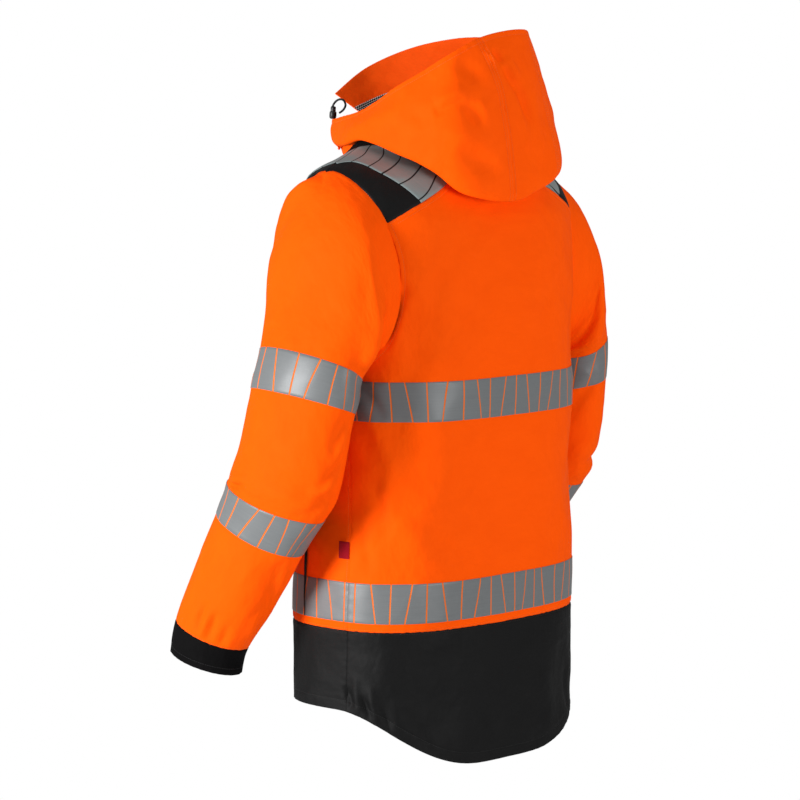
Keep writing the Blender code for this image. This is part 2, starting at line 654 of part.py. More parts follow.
def sleeve_surface(rows):
    """Outside points and normals of the left sleeve at the given rows."""
    rings = sleeve_rings(SLEEVE_COLUMNS)
    points = spline_rows(rings, rows)
    around = np.roll(points, -1, axis=1) - np.roll(points, 1, axis=1)
    down = spline_rows(rings, rows + ROW_STEP) - spline_rows(rings, rows - ROW_STEP)
    normals = unit(np.cross(down, around))
    turn = np.degrees(2.0 * np.pi * np.arange(SLEEVE_COLUMNS) / SLEEVE_COLUMNS)
    around_place = np.radians(turn)[None, :] * SLEEVE_ARC + 0.0 * rows[:, None]
    row_place = rows[:, None] * SLEEVE_ROW_LENGTH + 0.0 * turn[None, :]
    depth = np.zeros(points.shape[:2])
    for fold in SLEEVE_FOLDS:
        start = (radians(fold.angle_a) * SLEEVE_ARC, fold.row_a * SLEEVE_ROW_LENGTH)
        end = (radians(fold.angle_b) * SLEEVE_ARC, fold.row_b * SLEEVE_ROW_LENGTH)
        along, across = segment_distance(around_place, row_place, start, end)
        depth += fold.depth * trough(along, across, fold.width)
    depth *= np.clip(rows / SLEEVE_HEAD_ROW, 0.0, 1.0)[:, None]
    return points - normals * depth[..., None], normals


def sleeve_piece(name, rows, finish, side, lift=0.0, wall=CLOTH, inset=0.0):
    points, normals = sleeve_surface(rows)
    points = points + normals * lift
    if inset:
        points[0] += unit(points[1] - points[0]) * inset
        points[-1] += unit(points[-2] - points[-1]) * inset
    inside = points - normals * wall
    if side < 0:
        points, inside = mirrored(points), mirrored(inside)
    cloth_wall(name, points, inside, finish, closed=True)


def build_sleeves():
    cuff_row, end_row = ring_row("cuff_seam"), ring_row("cuff_end")
    tapes = (("upper", ring_row("upper_tape_top")), ("lower", ring_row("lower_tape_top")))
    for side, hand in ((1, "left"), (-1, "right")):
        sleeve_piece("sleeve_" + hand, sleeve_rows(0, cuff_row), "orange", side,
                     inset=SEAM_GAP)
        sleeve_piece("cuff_" + hand, sleeve_rows(cuff_row, end_row), "black", side,
                     inset=SEAM_GAP)
        for part, row in tapes:
            sleeve_piece("sleeve_tape_" + part + "_" + hand, sleeve_rows(row, row + 1),
                         "tape", side, lift=sewn_on(TAPE_CLOTH), wall=TAPE_CLOTH)


# ---------------------------------------------------------------- collar
def collar_surface(angle, part):
    """Points of the collar's outside; part runs from 0 at the neckline to 1 at the top."""
    turn = np.radians(angle)
    foot = smooth_trunk(angle, neckline(angle))
    top = np.stack([COLLAR_HALF_WIDTH * np.sin(turn),
                    COLLAR_Y_MID + COLLAR_HALF_DEPTH * np.cos(turn),
                    COLLAR_MID_Z + COLLAR_SLOPE * np.cos(turn)], axis=-1)
    bulge = np.sin(np.pi * part)[..., None] * COLLAR_BULGE
    outward = unit(np.stack([np.sin(turn), np.cos(turn), 0.0 * turn], axis=-1))
    return foot + (top - foot) * part[..., None] + outward * bulge


def collar_grid(angle, part):
    angle, part = np.broadcast_arrays(angle, part)
    return collar_surface(angle, part), grid_normals(collar_surface, angle, part, *COLLAR_STEP)


def build_collar():
    foot_edge = angle_at(FRONT_EDGE_X, float(neckline(180.0)), front=True)
    top_edge = 180.0 - float(np.degrees(np.arcsin(FRONT_EDGE_X / COLLAR_HALF_WIDTH)))
    part = np.linspace(0.0, 1.0, COLLAR_ROWS + 1)[:, None]
    edge = foot_edge + (top_edge - foot_edge) * part
    angle = edge * np.linspace(-1.0, 1.0, COLLAR_COLUMNS + 1)[None, :]
    points, normals = collar_grid(angle, part)
    outside = draw_back(points, EDGE_INSET)
    outside[0] += (points[1] - points[0]) * COLLAR_FOOT_RAISE
    cloth_wall("collar", outside, outside - normals * CLOTH, "orange")


# ---------------------------------------------------------------- hood
def collar_seam_point(angle):
    """Just outside the collar's foot, where the hood is sewn on."""
    points, normals = collar_grid(np.array([float(angle)]), np.array([HOOD_SEAM_PART]))
    return points[0] + normals[0] * HOOD_SEAM_OFF


def hood_profiles():
    profiles = []
    for station in HOOD_STATIONS:
        shape = [station.rim, station.belly, station.fold, station.under]
        profiles.append([np.array(point) for point in shape]
                        + [collar_seam_point(station.neck_angle)])
    return np.array(profiles)


def hood_surface(columns, rows):
    """Outside points and normals of the hood; columns are station numbers."""
    profiles = hood_profiles()

    def point_at(column, row):
        across = spline_rows(profiles, column)
        return np.array([spline_rows(profile, row) for profile in across])

    points = point_at(columns, rows)
    across = point_at(columns + ROW_STEP, rows) - point_at(columns - ROW_STEP, rows)
    along = point_at(columns, rows + ROW_STEP) - point_at(columns, rows - ROW_STEP)
    return points, unit(np.cross(along, across))


def hood_grid(first, last, first_row=0, last_row=HOOD_ROWS):
    columns = np.linspace(first, last, last - first + 1)
    rows = np.linspace(0.0, len(Station._fields) - 1.0, HOOD_ROWS + 1)
    return hood_surface(columns, rows[first_row:last_row + 1])


def build_hood():
    last = len(HOOD_STATIONS) - 1
    panels = (("hood_panel_left", 0, HOOD_LEFT_SEAM),
              ("hood_panel_centre", HOOD_LEFT_SEAM, HOOD_RIGHT_SEAM),
              ("hood_panel_right", HOOD_RIGHT_SEAM, last))
    for name, start, end in panels:
        points, normals = hood_grid(start, end)
        outside = draw_back(points, HOOD_INSET)
        cloth_wall(name, outside, outside - normals * CLOTH, "orange")
    depth = CLOTH + LINING_OFF
    for name, start_row, end_row, finish in (
            ("hood_facing", 0, FACING_ROWS, "orange"),
            ("hood_mesh_lining", FACING_ROWS, LINING_END_ROW, "mesh")):
        points, normals = hood_grid(0, last, start_row, end_row)
        outside = draw_back(points - normals * depth, EDGE_INSET)
        cloth_wall(name, outside, outside - normals * LINING_CLOTH, finish)


# ---------------------------------------------------------------- hood cords
def cord_points(route):
    """Evenly close points on a smooth curve through a cord's route."""
    route = np.array(route)
    count = CORD_STEPS * (len(route) - 1) + 1
    return spline_rows(route, np.linspace(0.0, len(route) - 1.0, count))


def add_cord(name, route):
    curve = bpy.data.curves.new(name, "CURVE")
    curve.dimensions = "3D"
    curve.bevel_depth = CORD_DIAMETER / 2.0
    curve.bevel_resolution = 2
    curve.use_fill_caps = True
    points = cord_points(route)
    spline = curve.splines.new("POLY")
    spline.points.add(len(points) - 1)
    for slot, point in zip(spline.points, points):
        slot.co = (point[0], point[1], point[2], 1.0)
    return add_object(name, curve, "cord")


def adopt(made, name, finish):
    """Name a new primitive, give it its material and move it into the collection."""
    made.name = name
    made.data.name = name
    made.data.materials.clear()
    made.data.materials.append(finish_for(finish))
    for holder in list(made.users_collection):
        holder.objects.unlink(made)
    COLLECTION.objects.link(made)


def add_cord_lock(name, centre, lean):
    """A barrel-shaped cord lock with a rounded top and foot."""
    bpy.ops.mesh.primitive_cylinder_add(vertices=LOCK_SIDES, radius=LOCK_RADIUS,
                                        depth=LOCK_HEIGHT, location=centre, rotation=lean)
    made = bpy.context.active_object
    rounding = made.modifiers.new("rounding", "BEVEL")
    rounding.width = LOCK_ROUNDING
    rounding.segments = 2
    rounding.limit_method = "ANGLE"
    rounding.angle_limit = SHARP_ANGLE
    adopt(made, name, "plastic")


def build_cords():
    for hand, cord in (("left", LEFT_CORD), ("right", RIGHT_CORD)):
        add_cord("hood_cord_" + hand, cord.route)
        add_cord_lock("cord_lock_" + hand, cord.lock, cord.lean)


# ---------------------------------------------------------------- front zip
def zip_path(steps_trunk, steps_collar):
    """Middle of the front opening, from the hem up to the collar's top, with normals."""
    low, high = float(hem(180.0)), float(neckline(180.0))
    z = np.linspace(low, high, steps_trunk + 1)
    points, normals = trunk_skin(np.full(len(z), 180.0), z)
    part = np.linspace(0.0, 1.0, steps_collar + 1)[1:]
    upper, upper_normals = collar_grid(np.full(len(part), 180.0), part)
    return np.concatenate([points, upper]), np.concatenate([normals, upper_normals])


def build_front_zip():
    points, normals = zip_path(ZIP_TRUNK_STEPS, ZIP_COLLAR_STEPS)
    points = points + normals * ZIP_PROUD
    half = np.array([FRONT_EDGE_X - SEAM_GAP - EDGE_INSET, 0.0, 0.0])
    outside = np.stack([points - half, points + half], axis=1)
    both = np.stack([normals, normals], axis=1)
    cloth_wall("front_zip", outside, outside - both * ZIP_THICKNESS, "black")


def zip_slider_place():
    points, normals = collar_grid(np.array([180.0]), np.array([SLIDER_PART]))
    below, _ = collar_grid(np.array([180.0]), np.array([SLIDER_PART - SLIDER_STEP]))
    return points[0] + normals[0] * ZIP_PROUD, normals[0], unit(points[0] - below[0])


def add_block(name, size, finish, place, bevel):
    bpy.ops.mesh.primitive_cube_add(size=1.0)
    made = bpy.context.active_object
    made.data.transform(Matrix.Diagonal(Vector(size).to_4d()))
    made.matrix_world = place
    rounding = made.modifiers.new("rounding", "BEVEL")
    rounding.width = bevel
    rounding.segments = 2
    adopt(made, name, finish)
    return made


def build_zip_slider():
    """The slider near the top of the collar and the pull tab that hangs from it."""
    middle, normal, up = zip_slider_place()
    across = Vector((1.0, 0.0, 0.0))
    turn = Matrix((across, Vector(up), Vector(normal))).transposed().to_4x4()
    outward = Vector(normal)
    centre = Vector(middle) + outward * (SEAM_GAP + SLIDER_SIZE[2] / 2.0)
    add_block("front_zip_slider", SLIDER_SIZE, "plastic",
              Matrix.Translation(centre) @ turn, SLIDER_ROUNDING)
    axis = centre + outward * (SLIDER_SIZE[2] / 2.0 + TAB_CLEAR + TAB_SIZE[1] / 2.0)
    drop = Vector((0.0, 0.0, -(TAB_SIZE[2] / 2.0 - TAB_HEAD)))
    tab = add_block("front_zip_pull", TAB_SIZE, "plastic",
                    Matrix.Translation(axis), TAB_ROUNDING)
    tab.data.transform(Matrix.Translation(drop))


# ---------------------------------------------------------------- small trim
def on_front_panel(row_place, column_place):
    """Points on the facets of the left front panel, between its own grid points."""
    angle, z = front_grid()
    points, normals = trunk_skin(angle, z)
    row, column = int(row_place), int(column_place)
    down, over = row_place - row, column_place - column
    weights = ((0, 0, (1 - down) * (1 - over)), (1, 0, down * (1 - over)),
               (0, 1, (1 - down) * over), (1, 1, down * over))
    point = sum(points[row + a, column + b] * w for a, b, w in weights)
    normal = sum(normals[row + a, column + b] * w for a, b, w in weights)
    return point, unit(normal)


def trim_strip(name, rows, columns, finish, side, lift, wall):
    grid = [[on_front_panel(row, column) for column in columns] for row in rows]
    points = np.array([[cell[0] for cell in line] for line in grid])
    normals = np.array([[cell[1] for cell in line] for line in grid])
    outside = points + normals * (lift + wall)
    inside = points + normals * lift
    if side < 0:
        outside, inside = mirrored(outside), mirrored(inside)
    cloth_wall(name, outside, inside, finish)


def build_trim():
    over_tape = 2 * SEAM_GAP + TAPE_CLOTH
    for side, hand in ((1, "left"), (-1, "right")):
        trim_strip("pocket_zip_" + hand, POCKET_ROWS, POCKET_COLUMNS, "black", side,
                   over_tape, POCKET_WALL)
    trim_strip("side_label", LABEL_ROWS, LABEL_COLUMNS, "red", 1, LABEL_LIFT, LABEL_WALL)


def main():
    clear_scene()
    build_back()
    build_fronts()
    build_hem_panels()
    build_yokes()
    build_sleeves()
    build_collar()
    build_hood()
    build_cords()
    build_front_zip()
    build_zip_slider()
    build_trim()


main()
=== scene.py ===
"""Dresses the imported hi-vis jacket: cloth shells with folds, seams, stitching and tapes.

Metres, +Z up, the wearer faces -Y and the wearer's left is +X. Every shell follows the
form of the solid that it replaces: the trunk is a smooth skin given by SECTIONS, read at
an angle around it (0 = centre back, 90 = left, 180 = front) and a height; the sleeves
are lofts through SLEEVE_RINGS; the hood is a loft through HOOD_STATIONS.
"""

from collections import namedtuple
from math import cos, pi, radians, sin

import bpy
import numpy as np
from mathutils import Matrix, Vector


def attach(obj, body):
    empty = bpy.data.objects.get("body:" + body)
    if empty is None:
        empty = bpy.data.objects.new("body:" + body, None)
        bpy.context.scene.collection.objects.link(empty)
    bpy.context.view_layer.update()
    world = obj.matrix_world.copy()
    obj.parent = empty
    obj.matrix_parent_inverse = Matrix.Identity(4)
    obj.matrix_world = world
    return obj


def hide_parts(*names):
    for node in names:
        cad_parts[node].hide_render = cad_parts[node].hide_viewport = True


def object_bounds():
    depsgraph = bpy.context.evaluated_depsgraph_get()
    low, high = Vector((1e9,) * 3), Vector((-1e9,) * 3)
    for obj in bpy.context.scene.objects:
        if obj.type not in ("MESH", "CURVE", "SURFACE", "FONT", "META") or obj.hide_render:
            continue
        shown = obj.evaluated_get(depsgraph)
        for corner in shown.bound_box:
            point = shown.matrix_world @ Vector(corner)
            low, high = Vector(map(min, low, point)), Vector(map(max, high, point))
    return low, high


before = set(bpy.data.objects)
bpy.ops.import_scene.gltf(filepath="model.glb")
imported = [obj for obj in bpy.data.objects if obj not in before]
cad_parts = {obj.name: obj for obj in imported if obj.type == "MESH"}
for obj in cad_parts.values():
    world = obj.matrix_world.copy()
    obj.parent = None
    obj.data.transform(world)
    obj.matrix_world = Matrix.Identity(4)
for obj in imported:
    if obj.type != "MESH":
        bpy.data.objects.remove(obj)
CAD_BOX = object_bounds()

# ---------------------------------------------------------------- camera
AZIMUTH = 132.0
ELEVATION = 6.0
CAMERA_DISTANCE = 4.5
LOOK_AT = Vector((0.0, 0.0, -0.344))
SENSOR_WIDTH = 36.0
FOCAL_LENGTH = 155.9
SHIFT_X = -0.0406
FAR_CLIP = 60.0


def aim(name, data, azimuth, elevation, distance):
    """Add a camera or lamp that looks at the jacket from a direction given in degrees."""
    turn, tilt = radians(azimuth), radians(elevation)
    direction = Vector((sin(turn) * cos(tilt), -cos(turn) * cos(tilt), sin(tilt)))
    made = bpy.data.objects.new(name, data)
    made.location = LOOK_AT + direction * distance
    made.rotation_euler = (-direction).to_track_quat("-Z", "Y").to_euler()
    bpy.context.scene.collection.objects.link(made)
    return made


def add_camera():
    lens = bpy.data.cameras.new("camera")
    lens.sensor_width = SENSOR_WIDTH
    lens.lens = FOCAL_LENGTH
    lens.shift_x = SHIFT_X
    lens.clip_end = FAR_CLIP
    bpy.context.scene.camera = aim("camera", lens, AZIMUTH, ELEVATION, CAMERA_DISTANCE)


# ---------------------------------------------------------------- hood cords
CORD_DIAMETER = 0.0028
HoodCord = namedtuple("HoodCord", "hand route lock lean")
HOOD_CORDS = (
    HoodCord("left",
             ((0.0560, -0.1120, 0.0270), (0.0550, -0.1060, 0.0310), (0.0540, -0.1030, 0.0370),
              (0.0530, -0.1070, 0.0430), (0.0515, -0.1150, 0.0445), (0.0495, -0.1240, 0.0420),
              (0.0478, -0.1310, 0.0366), (0.0474, -0.1315, 0.0325)),
             (0.0470, -0.1320, 0.0270), (radians(-8), radians(4), 0.0)),
    HoodCord("right",
             ((-0.0560, -0.1745, 0.0600), (-0.0580, -0.1800, 0.0590), (-0.0625, -0.1810, 0.0560),
              (-0.0670, -0.1770, 0.0520), (-0.0700, -0.1720, 0.0460), (-0.0704, -0.1711, 0.0415)),
             (-0.0705, -0.1705, 0.0360), (radians(-6), radians(-4), 0.0)),
)

# ---------------------------------------------------------------- the jacket's form
CLOTH = 0.0020
LINING_CLOTH = 0.0010
LINING_OFF = 0.0006
HEM_SEAM_Z = -0.6180
LOW_TAPE_Z = (-0.6070, -0.5570)
CHEST_TAPE_Z = (-0.3530, -0.3030)
TAIL_HEM_Z = -0.7950
SIDE_HEM_Z = -0.7200
SIDE_SEAM_ANGLE = 82.0
TAIL_START = 88.0
TAIL_SPREAD = 80.0
ARMHOLE_MID_Z = -0.1650
ARMHOLE_RISE = 0.1200
ARMHOLE_REACH = 37.0
ARMHOLE_FULLNESS = 0.0080
YOKE_TIP_STEP = 4.0
ARMHOLE_STEPS = 24.0
NECK_BACK_Z = 0.0050
NECK_FRONT_Z = -0.0450
NECK_SCOOP = 4.0
YOKE_BACK_NECK_ANGLE = 12.0
YOKE_FRONT_NECK_ANGLE = 150.0
YOKE_BACK_SEAM = ((0.1334, -0.0797), (0.0844, -0.0566), (0.0500, -0.0330),
                  (0.0270, -0.0120))
YOKE_FRONT_LEVELS = (-0.0900, -0.0760, -0.0620, -0.0480)
YOKE_RIDGE_PARTS = (0.0, 0.20, 0.62, 0.75, 0.88, 1.0)
FRONT_EDGE_X = 0.0065


def table(kind, rows):
    return tuple(kind(*row) for row in rows)


Section = namedtuple("Section", "z half_width half_depth y_mid squareness")
SECTIONS = table(Section, (
    (-0.800, 0.203, 0.130, 0.003, 2.70),
    (-0.720, 0.202, 0.130, 0.003, 2.70),
    (-0.600, 0.199, 0.131, 0.003, 2.80),
    (-0.480, 0.192, 0.132, 0.005, 2.90),
    (-0.360, 0.187, 0.132, 0.006, 3.00),
    (-0.240, 0.189, 0.132, 0.006, 3.00),
    (-0.160, 0.196, 0.131, 0.006, 2.80),
    (-0.100, 0.201, 0.126, 0.004, 2.60),
    (-0.070, 0.201, 0.118, 0.001, 2.30),
    (-0.050, 0.197, 0.111, -0.003, 1.90),
    (-0.040, 0.188, 0.106, -0.006, 1.60),
    (-0.028, 0.158, 0.099, -0.010, 1.38),
    (-0.015, 0.120, 0.092, -0.015, 1.45),
    (0.000, 0.092, 0.086, -0.019, 1.80),
    (0.010, 0.080, 0.082, -0.020, 2.00),
))
# Folds and creases: (u, v) of both ends, width and depth. A negative depth is a ridge.
# The trunk gives angle and z, a sleeve row and angle, the hood station and profile place.
Fold = namedtuple("Fold", "u_a v_a u_b v_b width depth")
TRUNK_FOLDS = table(Fold, (
    (50, -0.20, 42, -0.30, 0.030, 0.006), (62, -0.30, 40, -0.46, 0.036, 0.007),
    (-50, -0.21, -40, -0.31, 0.030, 0.005), (-60, -0.38, -34, -0.50, 0.040, 0.006),
    (20, -0.44, -24, -0.52, 0.050, 0.004), (70, -0.50, 44, -0.56, 0.034, 0.005),
    (128, -0.22, 140, -0.34, 0.034, 0.006), (-130, -0.24, -142, -0.36, 0.034, 0.005),
    (118, -0.40, 150, -0.52, 0.040, 0.006), (-114, -0.44, -150, -0.50, 0.040, 0.006),
    (30, -0.64, 24, -0.76, 0.036, 0.005), (-28, -0.66, -34, -0.76, 0.036, 0.004),
    (110, -0.62, 106, -0.71, 0.036, 0.005), (-112, -0.62, -118, -0.71, 0.036, 0.005),
))
TRUNK_CREASES = table(Fold, (
    (84, -0.300, 66, -0.350, 0.011, 0.0030), (50, -0.176, 67, -0.262, 0.010, 0.0065),
    (80, -0.330, 58, -0.420, 0.013, -0.0030), (74, -0.420, 60, -0.500, 0.012, 0.0034),
    (66, -0.465, 34, -0.520, 0.018, -0.0044), (40, -0.500, 6, -0.548, 0.014, 0.0030),
    (80, -0.480, 70, -0.545, 0.010, 0.0034), (30, -0.150, 38, -0.270, 0.020, 0.0026),
    (2, -0.180, 6, -0.290, 0.022, -0.0022), (14, -0.390, 24, -0.460, 0.020, 0.0024),
    (-72, -0.310, -56, -0.380, 0.012, 0.0024), (-66, -0.420, -44, -0.470, 0.014, -0.0022),
    (-20, -0.180, -36, -0.240, 0.016, 0.0016), (24, -0.110, 34, -0.190, 0.014, 0.0016),
    (100, -0.305, 124, -0.360, 0.012, 0.0026), (104, -0.420, 136, -0.450, 0.015, -0.0022),
    (112, -0.500, 160, -0.540, 0.014, 0.0022), (142, -0.120, 152, -0.240, 0.014, 0.0018),
    (-100, -0.310, -122, -0.370, 0.012, 0.0026), (-106, -0.480, -140, -0.540, 0.015, -0.0022),
    (-118, -0.400, -160, -0.430, 0.013, 0.0020), (-146, -0.130, -154, -0.230, 0.014, 0.0016),
    (83, -0.688, 78, -0.716, 0.0060, 0.0040), (77, -0.672, 75, -0.724, 0.0060, -0.0030),
    (73, -0.698, 67, -0.728, 0.0055, 0.0042), (68, -0.684, 64, -0.736, 0.0070, -0.0032),
    (61, -0.712, 56, -0.744, 0.0060, 0.0038), (54, -0.700, 50, -0.758, 0.0090, -0.0026),
    (40, -0.735, 33, -0.780, 0.0080, 0.0024), (8, -0.690, 2, -0.785, 0.0140, 0.0022),
    (-16, -0.690, -20, -0.782, 0.0150, -0.0018), (-36, -0.700, -42, -0.766, 0.0090, 0.0026),
    (-54, -0.650, -60, -0.720, 0.013, 0.0018), (140, -0.640, 136, -0.712, 0.013, 0.0016),
    (-138, -0.650, -142, -0.712, 0.013, 0.0016),
))
TRUNK_ARC = 0.165

Ring = namedtuple("Ring", "name outer_x outer_z inner_x inner_z y_mid half_depth lean")
SLEEVE_RINGS = table(Ring, (
    ("cap", 0.2170, -0.0740, 0.1950, -0.2875, 0.008, 0.0930, 0),
    ("shoulder", 0.2400, -0.1250, 0.1985, -0.2905, 0.012, 0.0930, 2),
    ("upper_arm", 0.2600, -0.2000, 0.1995, -0.2945, 0.014, 0.0880, 4),
    ("upper_tape_top", 0.2820, -0.2590, 0.2000, -0.3000, 0.012, 0.0820, 5),
    ("upper_tape_end", 0.2920, -0.3110, 0.2000, -0.3410, 0.004, 0.0790, 5),
    ("mid_arm", 0.3000, -0.3850, 0.2020, -0.3980, -0.009, 0.0790, 8),
    ("elbow", 0.3040, -0.4300, 0.2045, -0.4350, -0.023, 0.0800, 12),
    ("lower_tape_top", 0.3000, -0.4540, 0.2060, -0.4540, -0.037, 0.0760, 17),
    ("lower_tape_end", 0.2980, -0.4950, 0.2090, -0.4960, -0.065, 0.0690, 22),
    ("forearm", 0.2980, -0.5650, 0.2110, -0.5700, -0.108, 0.0640, 24),
    ("cuff_seam", 0.2960, -0.6320, 0.2130, -0.6380, -0.151, 0.0550, 18),
    ("cuff_end", 0.2960, -0.6690, 0.2160, -0.6740, -0.160, 0.0530, 14),
))
SLEEVE_FOLDS = table(Fold, (
    (1.4, 100, 2.8, 150, 0.026, 0.007), (3.2, 60, 4.6, 120, 0.030, 0.006),
    (6.6, 20, 7.0, 110, 0.014, 0.007), (5.4, 200, 7.4, 280, 0.030, 0.008),
    (9.4, 40, 10.4, 110, 0.024, 0.005), (2.6, 240, 4.8, 300, 0.032, 0.006),
    (0.60, 276, 0.45, 356, 0.020, -0.014),
))
SLEEVE_HEAD_ROW = 0.5
LEFT_SLEEVE_CREASES = table(Fold, (
    (7.15, -12, 7.78, -40, 0.0060, 0.0070), (6.80, -14, 7.35, -44, 0.0090, -0.0040),
    (0.45, 101, 3.80, 100, 0.0150, -0.0100), (0.70, 122, 3.20, 124, 0.0130, 0.0060),
    (1.10, 74, 3.40, 62, 0.0160, 0.0030), (5.05, 96, 5.75, 70, 0.0095, 0.0036),
    (5.30, 99, 6.05, 78, 0.0075, -0.0038), (5.75, 97, 6.60, 68, 0.0085, 0.0050),
    (6.25, 92, 7.00, 58, 0.0100, -0.0036), (6.90, 88, 7.60, 64, 0.0090, 0.0040),
    (5.10, 128, 6.20, 150, 0.0100, 0.0034), (9.2, 62, 10.0, 100, 0.012, 0.0040),
    (10.1, 78, 10.8, 96, 0.011, -0.0030), (10.25, 2, 10.85, 10, 0.0070, 0.0040),
    (10.35, 22, 10.95, 30, 0.0070, 0.0042), (10.30, 14, 10.90, 20, 0.0060, -0.0026),
    (10.45, 44, 10.95, 52, 0.0070, 0.0034), (9.0, 20, 9.8, 52, 0.014, -0.0018),
    (1.2, 60, 2.4, 96, 0.016, -0.0022), (2.2, 110, 3.4, 140, 0.012, 0.0026),
    (5.6, 216, 6.2, 260, 0.012, -0.0030), (6.6, 206, 7.0, 276, 0.012, 0.0040),
    (7.2, 220, 8.2, 300, 0.014, -0.0026), (9.6, 230, 10.6, 280, 0.013, 0.0028),
    (1.6, 230, 3.0, 280, 0.014, 0.0024),
))
RIGHT_SLEEVE_CREASES = table(Fold, (
    (6.5, 14, 6.8, 60, 0.010, 0.0030), (5.6, 70, 6.6, 128, 0.012, -0.0028),
    (4.7, 100, 5.8, 152, 0.011, 0.0032), (6.9, 206, 7.1, 284, 0.012, 0.0040),
    (5.4, 226, 6.2, 290, 0.013, -0.0030), (7.6, 230, 8.6, 292, 0.013, 0.0026),
    (9.5, 50, 10.3, 108, 0.013, 0.0028), (10.2, 240, 10.8, 290, 0.011, -0.0024),
    (1.4, 66, 2.8, 110, 0.016, -0.0022), (2.0, 236, 3.4, 286, 0.014, 0.0026),
))
SLEEVE_ARC = 0.072
SLEEVE_ROW_LENGTH = 0.055

Station = namedtuple("Station", "rim belly fold under neck_angle")
HOOD_STATIONS = table(Station, (
    ((0.046, -0.134, 0.018), (0.056, -0.128, 0.004), (0.062, -0.119, -0.010),
     (0.060, -0.111, -0.018), 144),
    ((0.075, -0.088, 0.024), (0.090, -0.080, 0.006), (0.098, -0.072, -0.012),
     (0.093, -0.061, -0.014), 112),
    ((0.095, -0.031, 0.035), (0.116, -0.022, 0.014), (0.120, -0.014, -0.004),
     (0.108, -0.012, -0.004), 80),
    ((0.106, 0.034, 0.0627), (0.124, 0.046, 0.026), (0.122, 0.054, -0.019),
     (0.107, 0.046, -0.018), 56),
    ((0.100, 0.072, 0.082), (0.114, 0.090, 0.034), (0.112, 0.096, -0.035),
     (0.092, 0.082, -0.030), 38),
    ((0.085, 0.105, 0.1035), (0.091, 0.126, 0.042), (0.086, 0.134, -0.063),
     (0.068, 0.110, -0.052), 24),
    ((0.045, 0.1207, 0.124), (0.031, 0.146, 0.054), (0.023, 0.160, -0.072),
     (0.020, 0.130, -0.062), 8),
    ((0.000, 0.127, 0.133), (-0.010, 0.149, 0.058), (-0.016, 0.167, -0.060),
     (-0.010, 0.134, -0.056), -3),
    ((-0.045, 0.1196, 0.134), (-0.054, 0.139, 0.060), (-0.060, 0.163, -0.046),
     (-0.040, 0.128, -0.049), -14),
    ((-0.085, 0.085, 0.129), (-0.094, 0.112, 0.052), (-0.096, 0.136, -0.038),
     (-0.072, 0.108, -0.038), -24),
    ((-0.098, 0.030, 0.124), (-0.118, 0.066, 0.045), (-0.116, 0.094, -0.028),
     (-0.094, 0.080, -0.022), -38),
    ((-0.098, -0.045, 0.123), (-0.128, 0.010, 0.048), (-0.124, 0.050, -0.014),
     (-0.108, 0.046, -0.013), -56),
    ((-0.086, -0.115, 0.110), (-0.118, -0.070, 0.045), (-0.122, -0.024, 0.000),
     (-0.108, -0.016, -0.002), -80),
    ((-0.056, -0.168, 0.084), (-0.088, -0.130, 0.034), (-0.102, -0.084, -0.002),
     (-0.095, -0.064, -0.011), -112),
    ((-0.016, -0.188, 0.050), (-0.046, -0.162, 0.020), (-0.062, -0.128, -0.006),
     (-0.060, -0.112, -0.017), -144),
))
HOOD_LEFT_SEAM = 6
HOOD_RIGHT_SEAM = 8
HOOD_LAST = len(HOOD_STATIONS) - 1
FACING_END = 1.2          # profile place where the facing meets the mesh lining
LINING_END = 2.4

HOOD_CREASES = table(Fold, (
    (6.16, 0.34, 6.36, 0.60, 0.0055, 0.0060), (6.02, 0.30, 6.14, 0.60, 0.0060, -0.0030),
    (6.30, 0.62, 6.62, 1.02, 0.0070, 0.0050), (6.55, 0.50, 6.86, 0.92, 0.0070, -0.0040),
    (6.72, 0.80, 6.98, 1.36, 0.0080, 0.0055), (6.40, 1.05, 6.66, 1.62, 0.0100, -0.0036),
    (5.10, 1.00, 5.44, 1.28, 0.0085, 0.0048), (5.42, 0.96, 5.66, 1.26, 0.0090, -0.0036),
    (4.26, 1.08, 5.16, 0.96, 0.0060, 0.0068), (4.34, 0.92, 5.20, 0.80, 0.0090, -0.0046),
    (4.10, 1.30, 5.30, 1.36, 0.0120, -0.0044), (4.90, 1.50, 5.70, 1.72, 0.0130, 0.0056),
    (5.20, 0.28, 5.60, 0.82, 0.0110, 0.0044), (3.20, 0.90, 4.10, 1.20, 0.0130, 0.0036),
    (2.6, 1.2, 4.2, 1.7, 0.016, 0.0030), (2.2, 0.8, 3.6, 1.1, 0.014, -0.0020),
    (6.5, 0.4, 6.9, 1.3, 0.012, 0.0026), (7.4, 0.9, 7.1, 1.8, 0.012, -0.0024),
    (6.5, 1.5, 7.4, 1.9, 0.013, 0.0026), (8.5, 0.7, 9.9, 0.9, 0.011, 0.0030),
    (8.6, 1.1, 9.6, 1.5, 0.013, -0.0026), (10.2, 0.9, 11.6, 1.4, 0.014, 0.0030),
    (11.0, 0.5, 12.6, 0.8, 0.014, -0.0024), (12.4, 1.0, 13.4, 1.5, 0.012, 0.0026),
))
COLLAR_HALF_WIDTH = 0.0660
COLLAR_HALF_DEPTH = 0.1020
COLLAR_Y_MID = -0.0500
COLLAR_MID_Z = 0.0310
COLLAR_SLOPE = 0.0210
COLLAR_BULGE = 0.0030
HOOD_SEAM_PART = 0.30
HOOD_SEAM_OFF = 0.0055

ZIP_PROUD = 0.0004
ZIP_HALF = 0.0060
SLIDER_PART = 0.80
PULL_HINGE = (0.0, -0.15144, -0.00412)


# ---------------------------------------------------------------- small helpers


def unit(vectors):
    length = np.linalg.norm(vectors, axis=-1, keepdims=True)
    return vectors / np.maximum(length, 1e-12)


